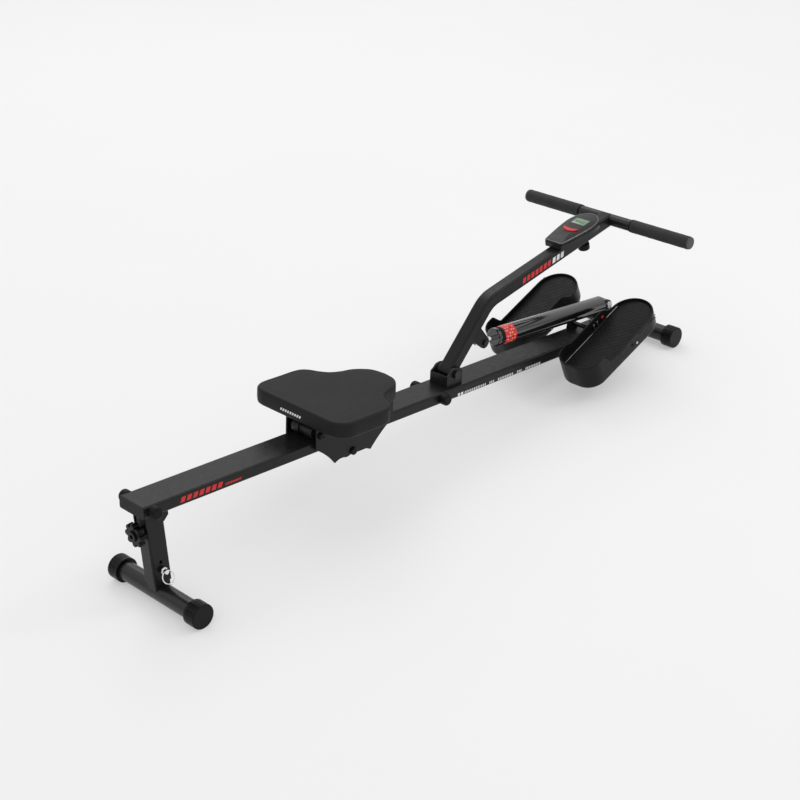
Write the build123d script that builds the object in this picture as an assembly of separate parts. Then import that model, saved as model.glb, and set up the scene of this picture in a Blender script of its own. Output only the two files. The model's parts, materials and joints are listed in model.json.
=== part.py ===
from build123d import *
import math
import os

# Rowing machine with one hydraulic cylinder. Millimetres and degrees.
# Places are measured from the rear stabiliser's axis: +X forward, +Y to the rower's left, +Z up.
# The written parts are moved so that the origin is on the floor under the machine's middle.

# Driving dimensions: frame
RAIL_WIDTH = 80.0
RAIL_HEIGHT = 28.0
RAIL_WALL = 2.0
RAIL_CORNER_R = 5.0
RAIL_LENGTH = 1660.0
RAIL_PITCH = 6.95
RAIL_REAR_X = -34.2
RAIL_REAR_Z = 269.4
FOOT_SPACING = 1638.9
STABILISER_R = 21.6
STABILISER_LENGTH = 290.0
CAP_R = 28.5
CAP_AXIS_Z = 29.5
CAP_LENGTH = 31.0
CAP_FLAT = 0.5
LEG_X = 1.0
LEG_DEPTH = 45.0
LEG_WIDTH = 36.0
LEG_BOTTOM_Z = 57.0
HEIGHT_STEP = 18.0
PIN_Z = 91.3
KNOB_Z = 190.0
BUMPER_R = 14.0
BUMPER_LENGTH = 19.0
REAR_BUMPER_S = 20.0
FRONT_BUMPER_S = 884.0

# Driving dimensions: seat and carriage, S along the rail and H above its top
SEAT_S = 442.0
SEAT_LENGTH = 285.0
SEAT_HALF_WIDTH = 150.0
SEAT_TOP_H = 83.0
SEAT_THICKNESS = 38.0
CARRIAGE_S = 463.0
CARRIAGE_LENGTH = 240.0
ROLLER_S = (478.0, 678.0)
LOWER_ROLLER_S = 578.0
UPPER_ROLLER_R = 16.0
LOWER_ROLLER_R = 23.0
ROLLER_GAP = 0.4
AXLE_R = 4.0
PLATE_Y = 46.0
PLATE_THICKNESS = 4.0

# Driving dimensions: handle arm
PIVOT_S = 940.0
PIVOT_H = 28.0
ARM_WIDTH = 36.0
ARM_DEPTH = 33.0
ARM_WALL = 2.0
ARM_LOWER_ANGLE = 42.35
ARM_UPPER_ANGLE = 7.35
ARM_BEND_R = 75.0
BAR_X = 1516.6
BAR_Z = 376.9
BAR_R = 15.0
BAR_LENGTH = 525.0
GRIP_R = 16.8
GRIP_INNER_Y = 84.0
LUG_X = 1026.0
LUG_Z = 215.0

# Driving dimensions: hydraulic cylinder
CYLINDER_PIN_X = 1511.0
CYLINDER_PIN_Z = 137.0
CYLINDER_R = 23.0
CYLINDER_BORE_R = 20.0
ROD_R = 6.0
EYE_HOLE_R = 11.5
EYE_R = 15.5

# Driving dimensions: pedals
PEDAL_PITCH = 19.5
PEDAL_HEEL_X = 1226.6
PEDAL_HEEL_Z = 80.7
PEDAL_LENGTH = 308.0
PEDAL_WIDTH = 120.0
PEDAL_INNER_Y = 64.0
PEDAL_HEEL_DEPTH = 42.0
PEDAL_TOE_DEPTH = 51.0
PEDAL_BED_DROP = 18.0
PEDAL_TOE_DROP = 9.0
PEDAL_AXLE_X = 1415.0
PEDAL_AXLE_Z = 108.0
PEDAL_AXLE_R = 6.0

# The middle of the machine's length, and the floor under the foot caps
ORIGIN_X = 808.75
FLOOR_Z = CAP_AXIS_Z - CAP_R + CAP_FLAT

RAIL = Pos(RAIL_REAR_X, 0, RAIL_REAR_Z) * Rot(0, RAIL_PITCH, 0)


def on_rail(s, h, y=0.0):
    """Point at distance s along the rail and h above its top face."""
    return (RAIL * Pos(s, y, h)).position


def box(x0, x1, y0, y1, z0, z1):
    """Box between two corners."""
    centre = Pos((x0 + x1) / 2, (y0 + y1) / 2, (z0 + z1) / 2)
    return centre * Box(x1 - x0, y1 - y0, z1 - z0)


def rod(start, end, radius):
    """Solid cylinder between two points."""
    start = Vector(*start)
    axis = Vector(*end) - start
    return extrude(Plane(origin=start, z_dir=axis) * Circle(radius), amount=axis.length)


def cross_rod(x, z, y0, y1, radius):
    """Solid cylinder along Y."""
    return rod((x, y0, z), (x, y1, z), radius)


def through_hole(x, z, radius):
    """Cutter along Y, longer than the machine is wide."""
    return cross_rod(x, z, -BAR_LENGTH, BAR_LENGTH, radius)


def cross_tube(x, z, y0, y1, radius, bore):
    """Tube along Y."""
    return cross_rod(x, z, y0, y1, radius) - through_hole(x, z, bore)


def prism(points, y0, y1):
    """Polygon in the XZ plane, extruded along Y from y0 to y1."""
    return extrude(Plane.XZ.offset(-y1) * make_face(Polyline(*points, close=True)), amount=y1 - y0)


def rounded_tube(length, width, height, corner, wall):
    """Rectangular tube along +X, centred on the axis."""
    outer = extrude(Plane.YZ * RectangleRounded(width, height, corner), amount=length)
    bore = RectangleRounded(width - 2 * wall, height - 2 * wall, max(corner - wall, 0.5))
    return outer - extrude(Plane.YZ * bore, amount=length)


def between(side, near, far, x, z, radius):
    """Solid cylinder along Y on one side of the machine, from near to far."""
    return cross_rod(x, z, min(side * near, side * far), max(side * near, side * far), radius)


def hex_head(x, z, y0, y1, across):
    """Hexagonal bolt head or nut along Y."""
    face = Plane(origin=(x, y0, z), z_dir=(0, 1, 0)) * RegularPolygon(across / math.sqrt(3), 6)
    return extrude(face, amount=y1 - y0)


def bolt_and_nut(x, z, y_head, y_nut, radius, across):
    """Hex bolt along Y with its head outside y_head and its nut outside y_nut."""
    head_side = -1 if y_head < y_nut else 1
    head_end = y_head + head_side * radius * 1.2
    nut_end = y_nut - head_side * radius * 1.4
    shank_end = nut_end - head_side * 2.0
    head = hex_head(x, z, min(y_head, head_end), max(y_head, head_end), across)
    shank = cross_rod(x, z, min(y_head, shank_end), max(y_head, shank_end), radius)
    nut = hex_head(x, z, min(y_nut, nut_end), max(y_nut, nut_end), across)
    return [head + shank, nut - through_hole(x, z, radius)]


def save(name, *pieces):
    """Write the pieces as the solids of one node."""
    solids = [Pos(-ORIGIN_X, 0, -FLOOR_Z) * solid for piece in pieces for solid in piece.solids()]
    export_step(Compound(children=solids) if len(solids) > 1 else solids[0], f"parts/{name}.step")


# ---------------------------------------------------------------- frame


def main_rail():
    tube = rounded_tube(RAIL_LENGTH, RAIL_WIDTH, RAIL_HEIGHT, RAIL_CORNER_R, RAIL_WALL)
    return RAIL * Pos(0, 0, -RAIL_HEIGHT / 2) * tube


def rail_end_caps():
    """Moulded plugs: a face plate outside the tube and a stub inside it, one at each end."""
    plate = 3.0
    stub = 16.0
    slack = 0.4
    inner_width = RAIL_WIDTH - 2 * RAIL_WALL - slack
    inner_height = RAIL_HEIGHT - 2 * RAIL_WALL - slack
    face_outline = RectangleRounded(RAIL_WIDTH, RAIL_HEIGHT, RAIL_CORNER_R)
    stub_outline = RectangleRounded(inner_width, inner_height, RAIL_CORNER_R / 2)
    caps = []
    for start, stub_start in ((-plate, 0.0), (RAIL_LENGTH, RAIL_LENGTH - stub)):
        face = extrude(Plane.YZ * face_outline, amount=plate)
        insert = extrude(Plane.YZ * stub_outline, amount=stub)
        cap = Pos(start, 0, 0) * face + Pos(stub_start, 0, 0) * insert
        caps.append(RAIL * Pos(0, 0, -RAIL_HEIGHT / 2) * cap)
    return caps


BRACKET_WALL = 3.0
STUD_R = 5.0
LOCK_PIN_R = 4.0
LEG_BOLT = (LEG_X + 6.0, 220.0, 4.0)


def leg_holes():
    """Cutters for the leg: star knob stud, lock pin, second height hole and cross bolt."""
    cutters = rod((-60, 0, KNOB_Z), (LEG_X, 0, KNOB_Z), STUD_R + 0.3)
    for z in (PIN_Z, PIN_Z + HEIGHT_STEP):
        cutters += through_hole(LEG_X, z, LOCK_PIN_R + 0.1)
    cutters += through_hole(*LEG_BOLT)
    return cutters


def rear_leg():
    """Upright tube with a welded barrel for the lock pin; its top follows the rail's slope."""
    wall = 2.0
    outline = RectangleRounded(LEG_DEPTH, LEG_WIDTH, 4.0)
    inner = RectangleRounded(LEG_DEPTH - 2 * wall, LEG_WIDTH - 2 * wall, 2.5)
    tube = extrude(outline, amount=200) - extrude(inner, amount=200)
    tube = Pos(LEG_X, 0, LEG_BOTTOM_Z) * tube
    above = RAIL * box(-100, 200, -60, 60, -RAIL_HEIGHT - BRACKET_WALL, 60)
    barrel = cross_rod(LEG_X, PIN_Z, -LEG_WIDTH / 2 - 5.0, -LEG_WIDTH / 2, 8.0)
    return tube - above + barrel - leg_holes()


def leg_bracket():
    """Saddle welded under the rail: a top plate and two cheeks beside the leg."""
    half = LEG_WIDTH / 2
    edge = half + BRACKET_WALL
    plate = RAIL * box(6, 74, -edge, edge, -RAIL_HEIGHT - BRACKET_WALL, -RAIL_HEIGHT)
    cheeks = []
    for side in (-1, 1):
        inner = side * half
        outer = side * edge
        points = ((-24, 260), (34, 260), (34, 214), (22, 203), (-24, 203))
        cheeks.append(prism(points, min(inner, outer), max(inner, outer)))
    above = RAIL * box(-100, 300, -60, 60, -RAIL_HEIGHT - BRACKET_WALL, 90)
    cheeks = [cheek - above for cheek in cheeks]
    return plate + cheeks[0] + cheeks[1] - through_hole(*LEG_BOLT)


def leg_bolt():
    edge = LEG_WIDTH / 2 + BRACKET_WALL
    return bolt_and_nut(LEG_BOLT[0], LEG_BOLT[1], -edge, edge, LEG_BOLT[2], 13.0)


LEG_REAR_X = LEG_X - LEG_DEPTH / 2
SPACER_LENGTH = 9.0


def knob_spacer():
    """Collar between the leg and the star knob."""
    start = (LEG_REAR_X - SPACER_LENGTH, 0, KNOB_Z)
    end = (LEG_REAR_X, 0, KNOB_Z)
    return rod(start, end, 11.0) - rod((-80, 0, KNOB_Z), (0, 0, KNOB_Z), STUD_R + 0.3)


def star_knob():
    """Eight-lobed hand knob with an open bore, turning about X."""
    lobes = 8
    length = 15.0
    hub_r = 21.0
    lobe_r = 6.5
    back = LEG_REAR_X - SPACER_LENGTH - 0.4
    body = Circle(hub_r)
    for index in range(lobes):
        body += PolarLocations(hub_r, 1, start_angle=index * 360 / lobes) * Circle(lobe_r)
    plane = Plane(origin=(back, 0, KNOB_Z), z_dir=(-1, 0, 0))
    knob = extrude(plane * body, amount=length)
    knob = chamfer(knob.faces().sort_by(Axis.X)[0].edges(), 1.5)
    hub = rod((back - length, 0, KNOB_Z), (back - length - 4.0, 0, KNOB_Z), 12.0)
    return knob + hub - rod((back - length - 5.0, 0, KNOB_Z), (back + 1.0, 0, KNOB_Z), STUD_R)


def star_knob_stud():
    """Threaded stud that turns with the knob and clamps the leg."""
    back = LEG_REAR_X - SPACER_LENGTH - 0.4
    return rod((back - 13.0, 0, KNOB_Z), (LEG_REAR_X + 14.0, 0, KNOB_Z), STUD_R)


PIN_HEAD_Y = -LEG_WIDTH / 2 - 5.5
RING_HOLE_Z = PIN_Z + 1.0
RING_SETBACK = 8.0
RING_R = 14.2
RING_LEAN = 30.0


def lock_pin():
    """Pull pin through the leg's barrel and the foot stem, with a cross-drilled head."""
    shaft = cross_rod(LEG_X, PIN_Z, PIN_HEAD_Y, LEG_WIDTH / 2 + 3.0, LOCK_PIN_R)
    collar = cross_rod(LEG_X, PIN_Z, PIN_HEAD_Y - 3.0, PIN_HEAD_Y, 8.0)
    head = cross_rod(LEG_X, PIN_Z, PIN_HEAD_Y - 13.0, PIN_HEAD_Y - 3.0, 5.5)
    head = fillet(head.faces().sort_by(Axis.Y)[0].edges(), 1.5)
    eye_y = PIN_HEAD_Y - RING_SETBACK
    eye = rod((LEG_X - 20, eye_y, RING_HOLE_Z), (LEG_X + 20, eye_y, RING_HOLE_Z), 2.6)
    return shaft + collar + head - eye


def lock_pin_ring():
    """Wire pull ring through the pin's head, leaning out over the floor tube."""
    hole = Pos(LEG_X, PIN_HEAD_Y - RING_SETBACK, RING_HOLE_Z)
    return hole * Rot(-RING_LEAN, 0, 0) * Pos(0, 0, -RING_R) * Rot(90, 0, 0) * Torus(RING_R, 1.2)


def stabiliser(x, length):
    """Round floor tube across the machine."""
    half = length / 2
    return cross_tube(x, CAP_AXIS_Z, -half, half, STABILISER_R, STABILISER_R - 2.0)


def foot_caps(x):
    """Fluted end caps over a floor tube, with a small flat where each one meets the floor."""
    flutes = 22
    wall = 5.0
    caps = []
    for side in (-1, 1):
        end = side * STABILISER_LENGTH / 2
        start = end - side * CAP_LENGTH
        low, high = min(start, end), max(start, end)
        cap = cross_rod(x, CAP_AXIS_Z, low, high, CAP_R)
        cap = fillet(cap.faces().sort_by(Axis.Y)[-1 if side > 0 else 0].edges(), 2.5)
        bore_end = end - side * wall
        bore_low, bore_high = min(start - side, bore_end), max(start - side, bore_end)
        cap -= cross_rod(x, CAP_AXIS_Z, bore_low, bore_high, STABILISER_R)
        grooves = []
        for index in range(flutes):
            angle = (index + 0.5) * 2 * math.pi / flutes
            gx = x + (CAP_R + 0.4) * math.cos(angle)
            gz = CAP_AXIS_Z + (CAP_R + 0.4) * math.sin(angle)
            groove_low = low + (8.0 if side > 0 else 5.0)
            groove_high = high - (5.0 if side > 0 else 8.0)
            grooves.append(cross_rod(gx, gz, groove_low, groove_high, 1.5))
        cap -= grooves
        cap -= box(x - 40, x + 40, low - 1, high + 1, -10, FLOOR_Z)
        caps.append(cap)
    return caps


def foot_stem():
    """Stem that slides in the leg, slotted for the lock pin and saddled onto the rear tube."""
    top = 150.0
    wall = 2.5
    depth = LEG_DEPTH - 5.0
    width = LEG_WIDTH - 5.0
    outline = extrude(RectangleRounded(depth, width, 3.0), amount=top - CAP_AXIS_Z)
    hollow = extrude(RectangleRounded(depth - 2 * wall, width - 2 * wall, 1.0), amount=200)
    stem = Pos(LEG_X, 0, CAP_AXIS_Z) * (outline - Pos(0, 0, 34) * hollow)
    stem -= through_hole(0, CAP_AXIS_Z, STABILISER_R)
    slot_r = LOCK_PIN_R + 0.5
    high = PIN_Z + HEIGHT_STEP
    slot = box(LEG_X - slot_r, LEG_X + slot_r, -LEG_WIDTH, LEG_WIDTH, PIN_Z, high)
    slot += through_hole(LEG_X, PIN_Z, slot_r) + through_hole(LEG_X, high, slot_r)
    return stem - slot


def front_saddle():
    """Block that carries the rail's front end on the front floor tube."""
    bottom = -RAIL_HEIGHT
    start = on_rail(RAIL_LENGTH - 70, bottom)
    end = on_rail(RAIL_LENGTH + 3.0, bottom)
    points = ((start.X, start.Z), (end.X, end.Z), (FOOT_SPACING, 62), (FOOT_SPACING + 12, 52))
    points += ((FOOT_SPACING, CAP_AXIS_Z), (start.X + 30, CAP_AXIS_Z + 4))
    block = prism(points, -26, 26)
    return block - through_hole(FOOT_SPACING, CAP_AXIS_Z, STABILISER_R)


def bumpers():
    """Rubber stops on both sides of the rail, behind and in front of the carriage's travel."""
    solids = []
    for s in (REAR_BUMPER_S, FRONT_BUMPER_S):
        centre = on_rail(s, -RAIL_HEIGHT / 2)
        for side in (-1, 1):
            inner = side * RAIL_WIDTH / 2
            outer = side * (RAIL_WIDTH / 2 + BUMPER_LENGTH)
            stop = cross_rod(centre.X, centre.Z, min(inner, outer), max(inner, outer), BUMPER_R)
            tip = stop.faces().sort_by(Axis.Y)[-1 if side > 0 else 0].edges()
            solids.append(fillet(tip, 5.0))
    return solids


# ---------------------------------------------------------------- seat and carriage


def seat_outline(inset=0.0):
    """Saddle outline along the rail: wide rear, waisted front corners and a round nose."""
    half = SEAT_HALF_WIDTH - inset
    rear = SEAT_S + inset
    nose = SEAT_S + SEAT_LENGTH - inset
    side = ((rear, half - 42), (rear + 3.2, half - 26), (rear + 12.3, half - 12.3), (rear + 26, half - 3.2))
    side += ((rear + 42, half),)
    shoulder = ((SEAT_S + 130, half), (SEAT_S + 152, half - 5), (SEAT_S + 167, half - 20))
    waist = ((SEAT_S + 178, half - 42), (SEAT_S + 192, half - 60), (SEAT_S + 215, half - 72))
    front = ((SEAT_S + 240, half - 79), (SEAT_S + 262 - inset, half - 94), (nose - 6, half - 116))
    left = Polyline(side[4], shoulder[0])
    corner = Spline(*side, tangents=((0, 1), (1, 0)))
    curve = Spline(*shoulder, *waist, *front, (nose, 0), tangents=((1, 0), (0, -1)))
    half_outline = [Line((rear, 0), side[0]), corner, left, curve]
    mirrored = [mirror(edge, Plane.XZ) for edge in half_outline]
    return make_face(half_outline + mirrored)


def seat_cushion():
    base = SEAT_TOP_H - SEAT_THICKNESS
    pad = extrude(Pos(0, 0, base) * seat_outline(), amount=SEAT_THICKNESS)
    return RAIL * pad


BOARD_THICKNESS = 6.0
BRIDGE_THICKNESS = 4.0
BRIDGE_TOP = SEAT_TOP_H - SEAT_THICKNESS - BOARD_THICKNESS
SCREW_R = 3.0
SCREWS = [(s, y) for s in (CARRIAGE_S + 37, CARRIAGE_S + 192) for y in (-30.0, 30.0)]


def upright(s, y, h0, h1, radius):
    """Cylinder standing on the rail's frame."""
    return Pos(s, y, h0) * extrude(Circle(radius), amount=h1 - h0)


def seat_board():
    """Plywood base under the cushion, drilled for the seat screws."""
    board = extrude(Pos(0, 0, BRIDGE_TOP) * seat_outline(14.0), amount=BOARD_THICKNESS)
    for s, y in SCREWS:
        board -= upright(s, y, 0, SEAT_TOP_H, SCREW_R)
    return RAIL * board


def carriage_bridge():
    """Top plate that joins the two carriage plates under the seat board."""
    low = BRIDGE_TOP - BRIDGE_THICKNESS
    edge = PLATE_Y + PLATE_THICKNESS
    bridge = box(CARRIAGE_S, CARRIAGE_S + CARRIAGE_LENGTH, -edge, edge, low, BRIDGE_TOP)
    for s, y in SCREWS:
        bridge -= upright(s, y, 0, SEAT_TOP_H, SCREW_R)
    return RAIL * bridge


def seat_screws():
    """Four screws from below the bridge into the board."""
    low = BRIDGE_TOP - BRIDGE_THICKNESS
    screws = []
    tip = BRIDGE_TOP + BOARD_THICKNESS - 0.5
    for s, y in SCREWS:
        screw = upright(s, y, low - 3.0, low, 6.0) + upright(s, y, low, tip, SCREW_R)
        screws.append(RAIL * screw)
    return screws


def carriage_axles():
    """Along-rail place, height and bolt radius of each roller axle."""
    upper_h = UPPER_ROLLER_R + ROLLER_GAP
    lower_h = -RAIL_HEIGHT - LOWER_ROLLER_R - ROLLER_GAP
    return [(ROLLER_S[0], upper_h), (ROLLER_S[1], upper_h), (LOWER_ROLLER_S, lower_h)]


def carriage_plate(side):
    """Side plate with a hanging middle lobe for the lower roller and scooped ends."""
    top = BRIDGE_TOP - BRIDGE_THICKNESS
    rear = CARRIAGE_S
    front = CARRIAGE_S + CARRIAGE_LENGTH
    lobe_bottom = -RAIL_HEIGHT - 37.0
    inner = side * PLATE_Y
    outer = side * (PLATE_Y + PLATE_THICKNESS)
    half_lobe = 56.0
    rear_lobe = LOWER_ROLLER_S - half_lobe
    front_lobe = LOWER_ROLLER_S + half_lobe
    shoulder = -6.0
    rear_shoulder = -14.5
    outline = [
        Polyline((rear, rear_shoulder), (rear, top), (front, top), (front, shoulder)),
        ThreePointArc((front, shoulder), (front - 30, shoulder - 22), (front_lobe, lobe_bottom)),
        Polyline((front_lobe, lobe_bottom), (front_lobe - 14, lobe_bottom + 6)),
        Line((front_lobe - 14, lobe_bottom + 6), (rear_lobe + 14, lobe_bottom + 6)),
        Polyline((rear_lobe + 14, lobe_bottom + 6), (rear_lobe, lobe_bottom)),
        ThreePointArc((rear_lobe, lobe_bottom), (rear + 30, rear_shoulder - 21), (rear, rear_shoulder)),
    ]
    plate = extrude(Plane.XZ.offset(-max(inner, outer)) * make_face(outline), amount=PLATE_THICKNESS)
    for s, h in carriage_axles():
        plate -= through_hole(s, h, AXLE_R)
    return RAIL * plate


def roller_bolts():
    """Three axle bolts across the carriage, each with its nut."""
    edge = PLATE_Y + PLATE_THICKNESS
    solids = []
    for s, h in carriage_axles():
        for solid in bolt_and_nut(s, h, -edge, edge, AXLE_R, 14.0):
            solids.append(RAIL * solid)
    return solids


ROLLER_HALF_WIDTH = 32.0


def roller_spacers():
    """Sleeves on the axle bolts between the rollers and the plates."""
    solids = []
    for s, h in carriage_axles():
        for side in (-1, 1):
            near = side * (ROLLER_HALF_WIDTH + 0.5)
            far = side * PLATE_Y
            sleeve = cross_tube(s, h, min(near, far), max(near, far), 7.0, AXLE_R)
            solids.append(RAIL * sleeve)
    return solids


def roller(s, h, radius):
    """Crowned nylon roller with rounded rims and a relieved middle."""
    body = cross_rod(s, h, -ROLLER_HALF_WIDTH, ROLLER_HALF_WIDTH, radius)
    body = fillet(body.edges().filter_by(GeomType.CIRCLE), 1.5)
    body -= cross_rod(s, h, -10, 10, radius + 5) - cross_rod(s, h, -11, 11, radius - 3)
    return RAIL * (body - through_hole(s, h, AXLE_R + 0.05))


# ---------------------------------------------------------------- handle arm

PIVOT = on_rail(PIVOT_S, PIVOT_H)
SLEEVE_R = 15.0
SLEEVE_HALF_LENGTH = 22.0
BUSH_R = 10.0
PIVOT_BOLT_R = 6.0
EAR_INNER_Y = 24.0
EAR_OUTER_Y = 28.0


def direction(angle):
    """Unit vector in the XZ plane, at an angle above +X."""
    return Vector(math.cos(math.radians(angle)), 0, math.sin(math.radians(angle)))


def arm_bend():
    """Corner where the arm's lower and upper centre lines meet."""
    low = direction(ARM_LOWER_ANGLE)
    high = direction(ARM_UPPER_ANGLE)
    dx = BAR_X - PIVOT.X
    dz = BAR_Z - PIVOT.Z
    reach = (dx * high.Z - dz * high.X) / (low.X * high.Z - low.Z * high.X)
    return Vector(PIVOT.X, 0, PIVOT.Z) + low * reach


def arm_bracket():
    """Channel on the rail's top: two ears for the pivot bolt and a low rear stop wall."""
    rear = PIVOT_S - 30.0
    front = PIVOT_S + 23.0
    wall = EAR_OUTER_Y - EAR_INNER_Y
    bracket = box(rear, front, -EAR_OUTER_Y, EAR_OUTER_Y, 0, wall)
    for side in (-1, 1):
        inner = side * EAR_INNER_Y
        outer = side * EAR_OUTER_Y
        low, high = min(inner, outer), max(inner, outer)
        ear = box(rear, front, low, high, 0, PIVOT_H) + cross_rod(PIVOT_S, PIVOT_H, low, high, 17.0)
        low_edge = ((front, PIVOT_H - 2), (rear, PIVOT_H - 2))
        rear_slope = ((rear, PIVOT_H), (rear + 3, PIVOT_H + 3), (PIVOT_S - 9, PIVOT_H + 14.4))
        front_slope = ((PIVOT_S, PIVOT_H + 17), (PIVOT_S + 14, PIVOT_H + 15), (front, PIVOT_H + 7))
        bracket += ear + prism((*low_edge, *rear_slope, *front_slope), low, high)
    bracket += box(rear, rear + wall, -EAR_OUTER_Y, EAR_OUTER_Y, 0, PIVOT_H)
    return RAIL * (bracket - through_hole(PIVOT_S, PIVOT_H, PIVOT_BOLT_R + 0.05))


def arm_pivot_bolt():
    return bolt_and_nut(PIVOT.X, PIVOT.Z, -EAR_OUTER_Y, EAR_OUTER_Y, PIVOT_BOLT_R, 19.0)


def pivot_sleeve():
    """Cross tube welded to the arm's foot."""
    half = SLEEVE_HALF_LENGTH
    return cross_tube(PIVOT.X, PIVOT.Z, -half, half, SLEEVE_R, BUSH_R)


def pivot_bushes():
    """Flanged plastic bushes pressed into the sleeve's ends."""
    depth = 14.0
    flange_y = SLEEVE_HALF_LENGTH + 1.4
    bushes = []
    for side in (-1, 1):
        body = between(side, SLEEVE_HALF_LENGTH - depth, SLEEVE_HALF_LENGTH, PIVOT.X, PIVOT.Z, BUSH_R)
        flange = between(side, SLEEVE_HALF_LENGTH, flange_y, PIVOT.X, PIVOT.Z, SLEEVE_R - 1)
        bushes.append(body + flange - through_hole(PIVOT.X, PIVOT.Z, PIVOT_BOLT_R + 0.08))
    return bushes


def handle_arm():
    """Bent rectangular tube from the pivot sleeve to the handlebar."""
    start = Vector(PIVOT.X, 0, PIVOT.Z)
    end = Vector(BAR_X, 0, BAR_Z)
    path = FilletPolyline(start, arm_bend(), end, radius=ARM_BEND_R)
    section = Plane(origin=start, x_dir=(0, 1, 0), z_dir=direction(ARM_LOWER_ANGLE))
    outer = sweep(section * RectangleRounded(ARM_WIDTH, ARM_DEPTH, 6.0), path)
    hollow = RectangleRounded(ARM_WIDTH - 2 * ARM_WALL, ARM_DEPTH - 2 * ARM_WALL, 4.0)
    tube = outer - sweep(section * hollow, path)
    tube -= through_hole(PIVOT.X, PIVOT.Z, SLEEVE_R)
    tube -= through_hole(BAR_X, BAR_Z, BAR_R)
    return tube - clamp_knob_stud_hole()


def lug_frame():
    """Lug hole and the nearest point on the lower arm's centre line."""
    along = direction(ARM_LOWER_ANGLE)
    hole = Vector(LUG_X, 0, LUG_Z)
    start = Vector(PIVOT.X, 0, PIVOT.Z)
    foot = start + along * (hole - start).dot(along)
    return hole, foot, along


LUG_INNER_Y = 8.0
LUG_OUTER_Y = 12.0
LUG_BOLT_R = 4.0


def cylinder_lug():
    """Two ears welded to the front of the lower arm for the cylinder's rod end."""
    hole, foot, along = lug_frame()
    out = (hole - foot).normalized()
    face = foot + out * (ARM_DEPTH / 2)
    root_a = face + along * 21
    root_b = face - along * 19
    ears = []
    for side in (-1, 1):
        low = min(side * LUG_INNER_Y, side * LUG_OUTER_Y)
        high = max(side * LUG_INNER_Y, side * LUG_OUTER_Y)
        tip_a = hole + along * 15
        tip_b = hole - along * 15
        points = [(p.X, p.Z) for p in (root_a, tip_a, tip_b, root_b)]
        ear = prism(points, low, high) + cross_rod(LUG_X, LUG_Z, low, high, 15.0)
        ears.append(ear - through_hole(LUG_X, LUG_Z, LUG_BOLT_R))
    return ears


def lug_bolt():
    return bolt_and_nut(LUG_X, LUG_Z, -LUG_OUTER_Y, LUG_OUTER_Y, LUG_BOLT_R, 13.0)


BAR_END_Y = BAR_LENGTH / 2 - 7.0
GRIP_END_Y = BAR_LENGTH / 2 - 4.0
BAR_BORE_R = BAR_R - 1.8


def handlebar():
    return cross_tube(BAR_X, BAR_Z, -BAR_END_Y, BAR_END_Y, BAR_R, BAR_BORE_R)


def grip(side):
    """Foam sleeve over one end of the handlebar."""
    sleeve = between(side, GRIP_INNER_Y, GRIP_END_Y, BAR_X, BAR_Z, GRIP_R)
    return sleeve - through_hole(BAR_X, BAR_Z, BAR_R + 0.05)


def grip_plugs():
    """End plugs: a disc over the foam's end and a stub inside the bar."""
    stub = 18.0
    plugs = []
    for side in (-1, 1):
        disc = between(side, GRIP_END_Y, BAR_LENGTH / 2, BAR_X, BAR_Z, GRIP_R - 1.2)
        disc = fillet(disc.faces().sort_by(Axis.Y)[-1 if side > 0 else 0].edges(), 1.5)
        neck = between(side, BAR_END_Y, GRIP_END_Y, BAR_X, BAR_Z, BAR_R)
        core = between(side, BAR_END_Y - stub, BAR_END_Y, BAR_X, BAR_Z, BAR_BORE_R - 0.2)
        plugs.append(disc + neck + core)
    return plugs


# ---------------------------------------------------------------- monitor on the arm

# Frame on the upper arm's centre line: +X forward along the arm, +Z away from it, origin at the bar
UPPER_ARM = Pos(BAR_X, 0, BAR_Z) * Rot(0, -ARM_UPPER_ANGLE, 0)
MONITOR_REAR = -214.0
MONITOR_FRONT = -48.0
MONITOR_BASE = ARM_DEPTH / 2 + 2.0
MONITOR_SPLIT = MONITOR_BASE + 12.0
MONITOR_TOP = MONITOR_BASE + 22.0
MONITOR_WALL = 2.5
BUTTON_CENTRE = (-146.0, 0.0)
SCREEN = (-103.0, 26.0, 40.0)


def monitor_outline(inset=0.0):
    """Shield: narrow square rear, widening to a round front."""
    rear = MONITOR_REAR + inset
    front = MONITOR_FRONT - inset
    corner = Spline(
        (rear, 24 - inset),
        (rear + 5, 28 - inset),
        (rear + 16, 31 - inset),
        tangents=((0, 1), (1, 0.25)),
    )
    flank = Spline(
        (rear + 16, 31 - inset),
        (MONITOR_REAR + 70, 39 - inset),
        (MONITOR_REAR + 115, 42 - inset),
        (MONITOR_REAR + 148, 32 - inset),
        (front, 0),
        tangents=((1, 0.25), (0, -1)),
    )
    half = [Line((rear, 0), (rear, 24 - inset)), corner, flank]
    return make_face(half + [mirror(edge, Plane.XZ) for edge in half])


def button_shape(gap=0.0):
    """Crescent key outline, or its window with a gap all round."""
    u, v = BUTTON_CENTRE
    arc = ThreePointArc((u + 6, v - 23), (u + 2, v), (u + 6, v + 23))
    belly = ThreePointArc((u + 6, v + 23), (u - 10, v), (u + 6, v - 23))
    key = make_face([arc, belly])
    return offset(key, amount=gap) if gap else key


def monitor_case():
    """Lower shell, open at the top."""
    shell = extrude(Pos(0, 0, MONITOR_BASE) * monitor_outline(), amount=MONITOR_SPLIT - MONITOR_BASE)
    cavity = extrude(Pos(0, 0, MONITOR_BASE + MONITOR_WALL) * monitor_outline(MONITOR_WALL), amount=40)
    pad = box(-190, -70, -14, 14, ARM_DEPTH / 2, MONITOR_BASE)
    return UPPER_ARM * (shell - cavity + pad)


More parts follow.
